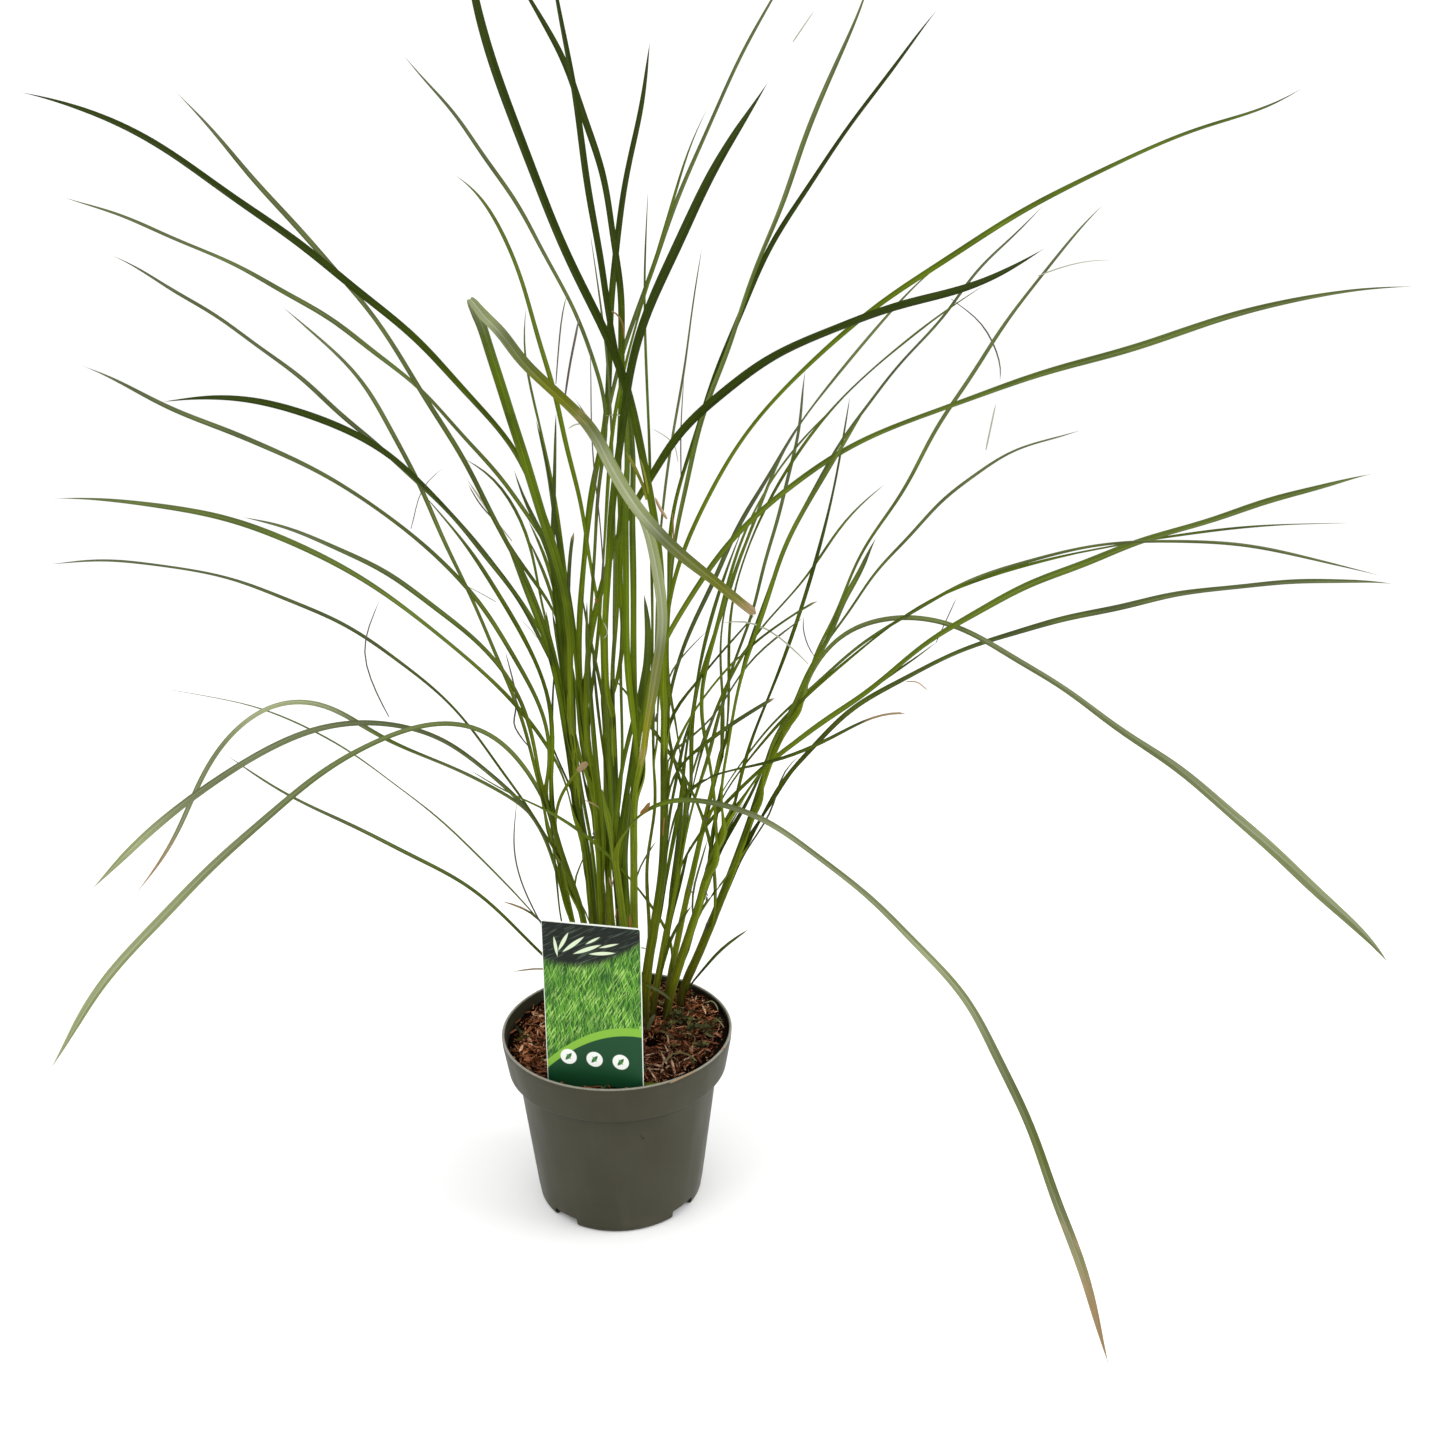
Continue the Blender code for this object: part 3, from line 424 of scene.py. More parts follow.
# Small moves across the front view: share of the way from the foot, and pixels to the right of that way
nudges = {
    "leaf_front_folded": ((0.55, 0), (0.58, 4), (0.63, 5), (0.7, 2), (0.78, 0)),
    "stem_13": ((0.3, 0), (0.4, -2), (0.49, -6), (0.6, -4), (0.67, -2), (0.78, 0)),
    "leaf_left_02": ((0.15, 0), (0.28, -2.4), (0.45, -2.4), (0.6, -1.6), (0.75, 0)),
    "leaf_left_03": ((0.45, 0), (0.57, -3), (0.72, -1.5), (0.85, 0)),
    "leaf_left_04": ((0.1, 0), (0.28, -1.6), (0.42, -2.3), (0.58, -2.6), (0.72, -1.6), (0.95, 0)),
    "leaf_left_06": (
        (0.04, 0), (0.12, -4), (0.17, -7), (0.25, -7.5), (0.31, -4), (0.34, 0), (0.38, 3), (0.45, 0)),
    "leaf_left_08": ((0.3, 0), (0.43, -1.9), (0.58, -3), (0.72, -1.9), (0.95, -1)),
    "leaf_left_09": (
        (0, 0), (0.03, 5), (0.08, 5), (0.13, 0), (0.19, -5), (0.35, -4.5), (0.58, -2), (0.72, -1.2)),
    "leaf_left_10": (
        (0, 0), (0.05, -1), (0.13, -5), (0.17, -5.5), (0.28, -3.5), (0.38, -2.5), (0.48, -1), (0.6, 0)),
    "leaf_left_11": ((0, 0), (0.04, -3), (0.1, -5), (0.18, -4), (0.27, -3), (0.36, -2), (0.47, -1), (0.6, 0)),
    "leaf_left_12": ((0, 0), (0.05, -2), (0.1, -3), (0.17, -3.5), (0.24, -1.8), (0.35, -1.5), (0.5, 0)),
    "leaf_left_13": ((0.2, 0), (0.3, -2), (0.45, -2), (0.6, 0)),
    "leaf_left_14": (
        (0.1, 0), (0.18, -1.5), (0.24, -4), (0.33, -4.8), (0.4, -3.3), (0.52, 0), (0.6, 1.5), (0.75, 2.6),
        (0.85, 0)),
    "leaf_left_15": ((0.12, 0), (0.2, 2.5), (0.3, 2.5), (0.38, 0), (0.5, -0.5), (0.7, -2.4), (0.85, 0)),
    "leaf_left_16": ((0.5, 0), (0.72, -1.9), (1, -1.8)),
    "leaf_middle_01": (
        (0, 0), (0.04, -1), (0.09, -8), (0.13, -16), (0.17, -23), (0.26, -23), (0.31, -19.5), (0.35, -13.5),
        (0.39, -9), (0.44, -5), (0.48, -2), (0.53, 0)),
    "leaf_middle_02": (
        (0, 0), (0.14, -2), (0.22, -6), (0.31, -11), (0.39, -8), (0.47, 0), (0.56, 4), (0.7, 0)),
    "leaf_middle_03": ((0, 0), (0.06, -8), (0.12, -9), (0.16, -6.5), (0.26, -4), (0.35, 0)),
    "leaf_middle_04": ((0, 0), (0.08, -6), (0.12, -3), (0.21, 1.5), (0.31, 4), (0.54, 4), (0.65, 0)),
    "leaf_middle_05": ((0, 0), (0.04, -6), (0.1, -7), (0.2, -5), (0.3, -4), (0.6, -3.5), (0.84, -5), (1, -1)),
    "leaf_right_01": ((0.36, 0), (0.42, 2), (0.75, 2.4), (0.82, 0), (0.95, -2)),
    "leaf_right_03": (
        (0, 0), (0.04, -6), (0.11, -5), (0.18, -7), (0.25, -9), (0.29, -6), (0.35, -2), (0.4, 0)),
    "leaf_right_06": ((0, 0), (0.18, 3), (0.25, 5), (0.33, 2.5), (0.6, 1.8), (0.75, 0)),
    "leaf_right_07": ((0, 0), (0.04, 2), (0.1, 4), (0.22, 4.5), (0.3, 3), (0.38, 0), (0.5, -1.8), (0.65, 0)),
    "leaf_right_09": ((0, 0), (0.05, 3), (0.1, 3.5), (0.16, 2.5), (0.22, 0)),
    "leaf_top_02": ((0, 0), (0.03, 6), (0.06, 11), (0.1, 11), (0.15, 8), (0.2, 5), (0.25, 3), (0.31, 0)),
    "leaf_top_03": (
        (0, 0), (0.04, 5), (0.1, 7.5), (0.18, 6.5), (0.24, 4), (0.29, 1), (0.35, 6), (0.41, 7), (0.47, 0)),
    "leaf_top_05": ((0, 0), (0.06, -3), (0.12, -5), (0.17, -6.5), (0.22, -6), (0.27, -3), (0.31, 0)),
    "leaf_top_07": (
        (0, 0), (0.06, -6), (0.11, -12), (0.17, -14), (0.24, -12), (0.3, -9), (0.41, -7), (0.5, -3),
        (0.56, 0)),
}
thinStems = {"stem_13": 0.6}


def nudged(name, centres):
    if name not in nudges:
        return centres
    along = alongPath(centres)
    pixels = pixelsOf(centres)
    ways = unit(np.gradient(pixels, axis=0))
    shifts = np.interp(along / along[-1], *zip(*nudges[name]))
    pixels = pixels + shifts[:, None] * ways[:, ::-1] * (-1, 1)
    return np.array([sightPoint(pixel, centre[1]) for pixel, centre in zip(pixels, centres)])


drawn = []  # paths of stems and blades, to find what lies at a pixel
stemLines = {}
for name, (centres, radii) in stems.items():
    centres = nudged(name, centres)
    at = alongPath(centres)
    fine = np.linspace(0, at[-1], 400)
    slim = 1 - bladeShape["footSlim"] * (1 - smoothStep(fine, 0.014, 0.07))
    spots = smoothed(eased(centres, at, fine), 400, smoothStep(fine, 0.016, 0.04))
    stemLines[name] = (fine, spots, np.interp(fine, at, radii) * slim * thinStems.get(name, 1))
    drawn.append(spots)


def stemSpot(name, length):
    fine, spots, radii = stemLines[name]
    spot = np.array([np.interp(length, fine, spots[:, axis]) for axis in range(3)])
    return spot, np.interp(length, fine, radii)


def nearestStem(point):
    def gap(name):
        _, spots, radii = stemLines[name]
        return (np.linalg.norm(spots - point, axis=1) - radii).min()
    name = min(stemLines, key=gap)
    fine, spots, _ = stemLines[name]
    return name, fine[np.argmin(np.linalg.norm(spots - point, axis=1))]


# Tones along a blade from foot to tip: how dry, pale and warm (yellow) it is

plainTone = {
    "dry": ((0.0, 0.0), (0.965, 0.0), (1.0, 0.5)),
    "pale": ((0.0, 0.0), (0.5, 0.0), (1.0, 0.16)),
    "warm": ((0.0, 0.16), (0.15, 0.06), (0.4, 0.0), (1.0, 0.0)),
}
greyEnd = {"pale": ((0.0, 0.0), (0.3, 0.12), (0.6, 0.30), (1.0, 0.45))}
leafTones = {
    "leaf_front_folded": {
        "pale": (
            (0.0, 0.0), (0.44, 0.0), (0.49, 0.12), (0.52, 0.6), (0.535, 0.82), (0.57, 0.85), (0.59, 0.6),
            (0.63, 0.30),
            (0.66, 0.04), (0.69, 0.0), (0.71, 0.22), (0.735, 0.55), (0.77, 0.85), (0.80, 1.0), (0.84, 0.92),
            (0.87, 0.62), (0.89, 0.36), (0.92, 0.25), (0.95, 0.10), (0.97, 0.2), (1.0, 0.0),
        ),
        "warm": (
            (0.0, 0.2), (0.2, 0.0), (0.55, 0.0), (0.63, 0.30), (0.68, 0.45), (0.72, 0.6), (0.76, 0.2),
            (0.80, 0.0),
            (0.86, 0.1), (0.90, 0.35), (0.95, 0.5), (1.0, 0.8),
        ),
        "dry": (
            (0.0, 0.0), (0.69, 0.0), (0.715, 0.42), (0.74, 0.2), (0.76, 0.0), (0.90, 0.0), (0.92, 0.2),
            (0.945, 0.1),
            (0.97, 0.34), (1.0, 0.62),
        ),
    },
    "leaf_front_pale": {
        "pale": (
            (0.0, 0.0), (0.08, 0.05), (0.17, 0.30), (0.22, 0.45), (0.28, 0.40), (0.36, 0.75), (0.5, 0.98),
            (0.62, 1.0),
            (0.8, 0.75), (1.0, 0.6),
        ),
        "warm": (
            (-0.06, 0.1), (-0.01, 0.6), (0.03, 0.95), (0.15, 0.9), (0.25, 0.75), (0.4, 0.35), (0.5, 0.1),
            (1.0, 0.0)),
        "dry": ((-0.05, 0.0), (-0.02, 0.42), (0.02, 0.42), (0.05, 0.0), (1.0, 0.0)),
    },
    "leaf_right_10": {
        "pale": (
            (0.0, 0.0), (0.12, 0.3), (0.17, 0.46), (0.29, 0.38), (0.35, 0.6), (0.6, 0.62), (0.76, 0.78),
            (1.0, 0.7)),
    },
    "leaf_right_11": {
        "pale": (
            (0.0, 0.0), (0.1, 0.05), (0.18, 0.45), (0.25, 0.75), (0.31, 0.66), (0.44, 0.74), (0.5, 0.9),
            (0.56, 0.8),
            (0.7, 0.5), (0.76, 0.4), (0.88, 0.8), (1.0, 0.8),
        ),
        "dry": ((0.0, 0.0), (0.68, 0.0), (0.8, 0.3), (0.9, 0.48), (1.0, 0.95)),
        "warm": ((0.0, 0.2), (0.1, 0.0), (0.6, 0.0), (0.75, 0.3), (1.0, 0.3)),
    },
    "leaf_left_13": {
        "pale": (
            (0.0, 0.0), (0.2, 0.3), (0.3, 0.5), (0.43, 0.2), (0.55, 0.8), (0.66, 1.0), (0.75, 0.62),
            (1.0, 0.7)),
        "dry": ((0.0, 0.0), (0.78, 0.0), (0.9, 0.42), (1.0, 0.9)),
        "warm": ((0.0, 0.2), (0.3, 0.0), (0.7, 0.0), (1.0, 0.4)),
    },
    "leaf_left_14": {"pale": (
        (0.0, 0.0), (0.25, 0.35), (0.45, 0.42), (0.6, 0.58), (0.8, 0.58), (0.9, 0.9), (1.0, 0.9))},
    "leaf_left_15": {"pale": ((0.0, 0.0), (0.25, 0.36), (0.5, 0.5), (0.65, 0.62), (0.75, 0.8), (1.0, 0.9))},
    "leaf_right_05": {"pale": ((0.0, 0.0), (0.4, 0.08), (1.0, 0.42))},
    "leaf_right_07": {"pale": ((0.0, 0.0), (0.4, 0.10), (1.0, 0.30))},
    "leaf_left_10": {"pale": ((0.0, 0.0), (0.4, 0.16), (1.0, 0.35))},
    "green": {},
    "grey": {"pale": ((0.0, 0.05), (0.3, 0.30), (1.0, 0.45))},
    "pale": {"pale": ((0.0, 1.0), (1.0, 1.0)), "dry": ((0.0, 0.2), (1.0, 0.36))},
    "straw": {"pale": ((0.0, 1.0), (1.0, 1.0)), "dry": ((0.0, 0.34), (1.0, 0.40))},
    "yellow": {"pale": ((0.0, 0.1), (1.0, 0.2)), "warm": ((0.0, 0.8), (1.0, 0.9))},
    "dusky": {"warm": ((0.0, 0.0), (1.0, 0.0))},
    "russet": {"warm": ((0.0, 1.0), (1.0, 0.8)), "dry": ((0.0, 0.0), (1.0, 0.2))},
    "tan": {"dry": ((0.0, 0.7), (1.0, 0.9)), "warm": ((0.0, 0.0), (1.0, 0.0))},
    "whitish": {"pale": ((0.0, 0.8), (1.0, 1.0)), "warm": ((0.0, 0.0), (1.0, 0.0))},
    "brownCut": {"dry": ((0.0, 0.0), (0.82, 0.0), (0.92, 0.8), (1.0, 1.0))},
    "dryTip": {"dry": ((0.0, 0.0), (0.72, 0.0), (0.85, 0.6), (1.0, 1.0))},
    "dry": {"dry": ((0.0, 0.8), (1.0, 1.0)), "warm": ((0.0, 0.3), (1.0, 0.3))},
}
for name in (
    "left_01", "left_03", "left_04", "left_05", "left_06", "left_09", "left_11", "left_12", "left_16",
    "right_03",
    "right_04", "right_06", "right_08", "right_09", "top_05", "top_07", "middle_01", "middle_03",
):
    leafTones["leaf_" + name] = greyEnd
darkLeaves = {  # fresh at the foot, and soon dark
    "names": (
        "leaf_top_01", "leaf_top_02", "leaf_top_03", "leaf_top_04", "leaf_top_06", "leaf_top_08",
        "leaf_left_02", "leaf_left_08", "leaf_right_01",
    ),
    "varies": 0.2, "fade": 2.0, "least": -0.2, "pale": 0.3,
}
creasedLeaf = {  # the ring its crease stands in for, and pixel, depth and width of points round the crease
    "name": "leaf_front_folded", "ring": 10,
    "rows": (
        (477, 316, -0.196, 0.0070), (471, 304, -0.2005, 0.0052), (469.3, 299.5, -0.2055, 0.0030),
        (473, 303, -0.2105, 0.0052), (484, 316, -0.2150, 0.0070),
    ),
}

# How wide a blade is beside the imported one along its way, and for single leaves
widthAlong = (
    (0.0, 0.86), (0.12, 0.76), (0.22, 0.68), (0.35, 0.72), (0.5, 0.84), (0.65, 1.0), (0.8, 1.25),
    (0.9, 1.5),
)
blurredAlong = (
    (0.0, 0.8), (0.12, 0.62), (0.3, 0.58), (0.45, 0.66), (0.58, 0.84), (0.72, 1.2), (0.82, 1.6),
    (0.92, 2.3),
)
blurredLeaves = ("leaf_left_14", "leaf_left_15", "leaf_right_10", "leaf_right_11")
frontAlong = ((0.0, 1.25), (0.3, 1.2), (0.65, 1.25), (0.8, 0.95), (1.0, 0.9))
leafWidths = {
    "leaf_front_folded": 0.78, "leaf_front_pale": 0.80, "leaf_left_01": 1.1, "leaf_left_02": 0.9,
    "leaf_left_04": 1.3, "leaf_left_05": 1.2, "leaf_left_08": 1.4, "leaf_left_09": 1.1,
    "leaf_left_11": 1.15, "leaf_left_12": 0.8, "leaf_left_13": 1.0, "leaf_left_15": 0.9,
    "leaf_left_16": 0.85, "leaf_right_01": 1.25, "leaf_right_03": 0.8, "leaf_right_04": 0.75,
    "leaf_right_06": 0.72, "leaf_right_07": 1.3, "leaf_right_08": 0.65, "leaf_right_09": 1.2,
    "leaf_top_01": 1.1, "leaf_top_02": 1.3, "leaf_top_03": 1.15, "leaf_top_04": 1.3, "leaf_top_06": 1.1,
    "leaf_middle_03": 0.9, "leaf_middle_04": 0.75, "leaf_middle_05": 0.8,
}


def tonesFor(name, shares, own, first=0.0):
    looks = {**plainTone, **leafTones.get(name, {})}
    reach = (shares - first) / (1 - first)  # below 0 in the sheath
    rows = [np.interp(reach, *zip(*looks[channel])) for channel in ("dry", "pale", "warm")]
    fade = np.maximum(reach, 0)
    owns = (0.25 + 0.75 * own) * (1 - 0.5 * fade)
    if name in darkLeaves["names"]:
        owns = np.maximum(1.0 + darkLeaves["varies"] * own - darkLeaves["fade"] * fade, darkLeaves["least"])
        rows[1] = darkLeaves["pale"] * rows[1]
    return np.stack([*rows, owns], axis=1)


def leafBlade(name, own):  # a leaf with its sheath, which wraps the stem below it
    centres, sides, widths = leaves[name]
    centres = nudged(name, centres)
    if name == creasedLeaf["name"]:
        ring = creasedLeaf["ring"]
        spots = [sightPoint(row[:2], row[2]) for row in creasedLeaf["rows"]]
        centres = np.vstack([centres[:ring], spots, centres[ring + 1:]])
        sides = np.vstack([sides[:ring], [sides[ring - 1]] * len(spots), sides[ring + 1:]])
        widths = np.concatenate([widths[:ring], [row[3] for row in creasedLeaf["rows"]], widths[ring + 1:]])
        widths[-1] = bladeShape["brokenEnd"] * widths[-2]
    stemName, joinAt = nearestStem(centres[0])
    axis, _ = stemSpot(stemName, joinAt)
    offset = np.linalg.norm(centres[0] - axis)
    outward = (centres[0] - axis) / offset
    sheathLength = bladeShape["shortSheath"] + bladeShape["longerBy"] * own
    sheathLength = min(sheathLength, joinAt - bladeShape["sheathFoot"])
    below, outs = [], []
    for share, snug in bladeShape["sheathRings"]:
        spot, radius = stemSpot(stemName, joinAt - sheathLength * share)
        outs.append(radius * snug)
        below.append(spot + outward * outs[-1])
    count = len(below)
    rows = np.vstack([below, centres])
    at = alongPath(rows)
    foot = at[count]
    spacing = bladeShape["creasedSpacing" if name == creasedLeaf["name"] else "spacing"]
    clear, tip = bladeShape["tip"]
    fine = np.append(np.arange(0, at[-1] - clear, spacing), (at[-1] - tip, at[-1]))

    def fromFoot(stretch):
        return smoothStep(fine, foot + bladeShape[stretch][0], foot + bladeShape[stretch][1])

    bend = fromFoot("eases")
    if name == creasedLeaf["name"]:  # the crease stays sharp
        crease = at[count + creasedLeaf["ring"] + len(spots) // 2]
        bend *= 1 - np.exp(-(((fine - crease) / bladeShape["creaseReach"]) ** 2))
    path = smoothed(eased(rows, at, fine), bladeShape["easing"], bend)
    ways = unit(np.gradient(path, axis=0))
    wrap = unit(np.cross(ways, outward))
    if sides[1] @ np.cross(centres[1] - centres[0], outward) < 0:
        sides = -sides
    free = eased(np.vstack([np.repeat(sides[:1], count, axis=0), sides]), at, fine)
    leaving = fromFoot("leaves")[:, None]
    side = unit(wrap * (1 - leaving) + unit(free) * leaving)
    draw = random.Random(f"twist {name}")
    phase = draw.uniform(0, 2 * math.pi)
    length = bladeShape["twistLength"] * draw.uniform(0.8, 1.3)
    turn = math.radians(bladeShape["twist"]) * np.sin(2 * math.pi * fine / length + phase)
    turn = (turn * fromFoot("twists"))[:, None]
    side = side * np.cos(turn) + np.cross(ways, side) * np.sin(turn)
    wave = bladeShape["wave"] * np.sin(2 * math.pi * fine / (0.4 * length)) * leaving[:, 0]
    path = path + side * wave[:, None]
    blade = fromFoot("opens")
    bladeHalf = np.interp(fine, at, np.concatenate([np.full(count, widths[0]), widths])) / 2
    if name != creasedLeaf["name"]:
        along = blurredAlong if name in blurredLeaves else widthAlong
        if name == "leaf_front_pale":
            along = frontAlong
        bladeHalf *= np.interp((fine - foot) / (at[-1] - foot), *zip(*along))
    bladeHalf *= leafWidths.get(name, 1.0)
    drawn.append(path)
    sheathHalf = np.interp(fine, at[:count], outs) * bladeShape["sheathRoll"]
    store = newStore()
    addBlade(store, {
        "centres": path, "sides": side,
        "halves": sheathHalf * (1 - blade) + bladeHalf * blade,
        "rolls": bladeShape["sheathRoll"] * (1 - blade) + bladeShape["roll"] * blade,
        "folds": bladeShape["fold"] * blade,
        "tones": tonesFor(name, fine / fine[-1], own, foot / at[-1]),
    })
    return storedPiece(store, name.replace("leaf", "blade"), bladeSkin)


for number, name in enumerate(leaves):
    own = 0.45 if name == creasedLeaf["name"] else (number * 0.618) % 1.0
    keep(leafBlade(name, own), "leaf_green", name)
print("made", len(leaves), "blades")


# Stalks: a ribbed tube for each stem, about half of them with an old sheath round the foot

stalkShape = {
    "sides": 16, "spacing": 0.006, "rib": 0.025, "topLength": 0.025, "topNarrows": 0.72,
    "nodes": ((0.03, 0.05), (0.08, 0.12)), "nodeSwell": 0.10, "nodeLength": 0.004,
    "dry": 0.30, "dryTo": (0.02, 0.05), "warm": 0.40, "warmTo": (0.03, 0.16),
}
flapShape = {
    "share": 0.5, "low": (0.014, 0.020), "length": (0.022, 0.045), "dry": (0.35, 0.6), "warm": 0.3,
    "rings": 9, "snug": 0.86, "swell": 0.24, "loose": 0.0012, "wrap": 1.7, "opens": 0.7, "narrows": 0.85,
}


def addTube(store, spots, radii, tones, sides, rib):
    ways = unit(np.gradient(spots, axis=0))
    first = unit(np.cross(ways, np.array((0.0, 1.0, 0.0))))
    second = np.cross(ways, first)
    start, along = len(store["points"]), alongPath(spots)
    rows = len(spots)
    for k in range(rows):
        for i in range(sides):
            angle = 2 * math.pi * i / sides
            radius = radii[k] * (1 + rib * (-1) ** i)
            store["points"].append(
                spots[k] + (first[k] * math.cos(angle) + second[k] * math.sin(angle)) * radius
            )
            store["across"].append(0.5 - 0.5 * math.cos(angle))
            store["along"].append(along[k])
            store["tones"].append(tones[k])
    for k in range(rows - 1):
        low, high = start + k * sides, start + (k + 1) * sides
        for i in range(sides):
            j = (i + 1) % sides
            store["faces"].append((low + i, low + j, high + j, high + i))
    store["faces"].append(tuple(start + i for i in range(sides)))
    store["faces"].append(tuple(start + (rows - 1) * sides + i for i in range(sides)))


def addFlap(store, name, draw):  # an old sheath, a little loose at its upper end
    f = flapShape
    low = draw.uniform(*f["low"])
    high = low + draw.uniform(*f["length"])
    angle = draw.uniform(0, 2 * math.pi)
    own, dryness = draw.random(), draw.uniform(*f["dry"])
    fine = np.linspace(low, high, f["rings"])
    spots, radii = zip(*(stemSpot(name, length) for length in fine))
    spots, radii = np.array(spots), np.array(radii)
    share = (fine - low) / (high - low)
    outward = np.array((math.cos(angle), math.sin(angle), 0.0))
    loose = f["loose"] * smoothStep(share, 0.6, 1.0) * (0.4 + own)
    outs = radii * (f["snug"] + f["swell"] * smoothStep(share, 0, 0.15)) + loose
    rolls = f["wrap"] - f["opens"] * smoothStep(share, 0.5, 1.0)
    path = spots + outward * outs[:, None]
    ways = unit(np.gradient(path, axis=0))
    plain = np.ones(f["rings"])
    dry = dryness * smoothStep(share, 0.3, 1.0)
    addBlade(store, {
        "centres": path, "sides": unit(np.cross(ways, outward)),
        "halves": outs * rolls * (1 - f["narrows"] * share**4), "rolls": rolls, "folds": 0 * plain,
        "tones": np.stack([dry, 0 * plain, f["warm"] * plain, own * plain], axis=1),
    })


def stalk(name, own):
    s = stalkShape
    fine, spots, radii = stemLines[name]
    at = np.arange(0, fine[-1] + 1e-6, s["spacing"])
    at[-1] = fine[-1]
    line = np.stack([np.interp(at, fine, spots[:, axis]) for axis in range(3)], axis=1)
    draw = random.Random(f"stalk {name}")
    nodes = [draw.uniform(*limits) for limits in s["nodes"]]
    swell = sum(s["nodeSwell"] * np.exp(-(((at - node) / s["nodeLength"]) ** 2)) for node in nodes)
    ending = 1 - s["topNarrows"] * smoothStep(at, fine[-1] - s["topLength"], fine[-1])
    size = np.interp(at, fine, radii) * (1 + swell) * ending
    footDry = s["dry"] * (1 - smoothStep(at, *s["dryTo"]))
    warm = s["warm"] * (1 - smoothStep(at, *s["warmTo"]))
    tones = np.stack([footDry, np.zeros(len(at)), warm, np.full(len(at), own)], axis=1)
    store = newStore()
    addTube(store, line, size, tones, s["sides"], s["rib"])
    if draw.random() < flapShape["share"]:
        addFlap(store, name, draw)
    return storedPiece(store, name.replace("stem", "stalk"), stalkSkin)


for number, name in enumerate(stems):
    keep(stalk(name, (number * 0.618) % 1.0), "sheath_green", name)
print("made", len(stems), "stalks")


# Fine leaves and hairs, from points read off the front view, tip first
fineShape = {
    "foot": 0.6, "fullAt": 0.15, "widen": 1.25, "roll": 0.25, "fold": 0.3, "twist": 25, "twistLength": 0.16,
    "sheath": 0.018, "standOff": 0.0006, "lead": 40, "bend": 1.2, "easing": 14, "leastRings": 8,
    "easedBy": 0.02, "cut": 0.0006,
}
nearShape = {"within": 2.5, "hairReach": 9, "scaleAhead": 0.0034, "lean": 0.0006}  # pixels, then metres


def gripRow(name, row):  # the length up a stem where the front view has it at this pixel row
    fine, spots, _ = stemLines[name]
    return float(fine[np.argmin(np.abs(pixelsOf(spots)[:, 1] - row))])


def fineLeaf(store, tone, stem, row, width, depth, points):
    length = gripRow(stem, row)
    joined, radius = stemSpot(stem, length)
    pixels = np.array(points[::-1], float)
    reach = alongPath(pixels) + fineShape["lead"]
    depths = joined[1] + (depth - joined[1]) * (reach / reach[-1]) ** fineShape["bend"]
    free = np.array([sightPoint(pixel, y) for pixel, y in zip(pixels, depths)])
    outward = free[0] - joined
    outward[2] = 0
    outward = unit(outward)
    below = [stemSpot(stem, length - fineShape["sheath"] * share)[0] + outward * radius for share in (1, 0.4)]
    rows = np.vstack([below, joined + outward * (radius + fineShape["standOff"]), free])
    hang(store, tone, rows, width, alongPath(rows)[2])


def hang(store, tone, rows, width, below=0.0):  # a narrow blade along these points
    f = fineShape
    at = alongPath(rows)
    count = max(f["leastRings"], round(at[-1] / bladeShape["fineSpacing"]))
    fine = np.linspace(0, at[-1], count)
    if "Cut" in tone:
        fine = np.append(fine[:-1], (at[-1] - f["cut"], at[-1]))
        count += 1
    weights = smoothStep(fine, below, below + f["easedBy"])
    path = smoothed(eased(rows, at, fine), min(f["easing"], count // 3), weights)
    drawn.append(path)
    ways = unit(np.gradient(path, axis=0))
    own = random.Random(f"{tone} {rows[-1][0]:.4f} {rows[-1][2]:.4f}").random()
    lean = path[-1] - path[0]
    level = unit(np.array((-lean[1], lean[0], 1e-6)))
    facing = unit(np.cross(ways, np.array(view["spot"]) - path))
    facing *= np.where(facing @ level < 0, -1, 1)[:, None]
    side = unit(0.5 * level + 0.5 * facing)
    turn = math.radians(f["twist"]) * np.sin(2 * math.pi * (fine / f["twistLength"] + own))[:, None]
    side = unit(side - ways * (side * ways).sum(axis=1)[:, None])
    side = side * np.cos(turn) + np.cross(ways, side) * np.sin(turn)
    share = np.clip((fine - below) / (at[-1] - below), 0, 1)
    rising = f["foot"] + (1 - f["foot"]) * np.clip(share / f["fullAt"], 0, 1)
    half = f["widen"] * width / 2000 * rising  # metres, from the whole width in mm
    half *= np.ones(count) if "Cut" in tone else np.maximum(1 - share**7, 0.02) ** 0.8
    addBlade(store, {
        "centres": path, "sides": side, "halves": half, "rolls": np.full(count, f["roll"]),
        "folds": np.full(count, f["fold"]), "tones": tonesFor(tone, fine / at[-1], own),
    }, "fine")


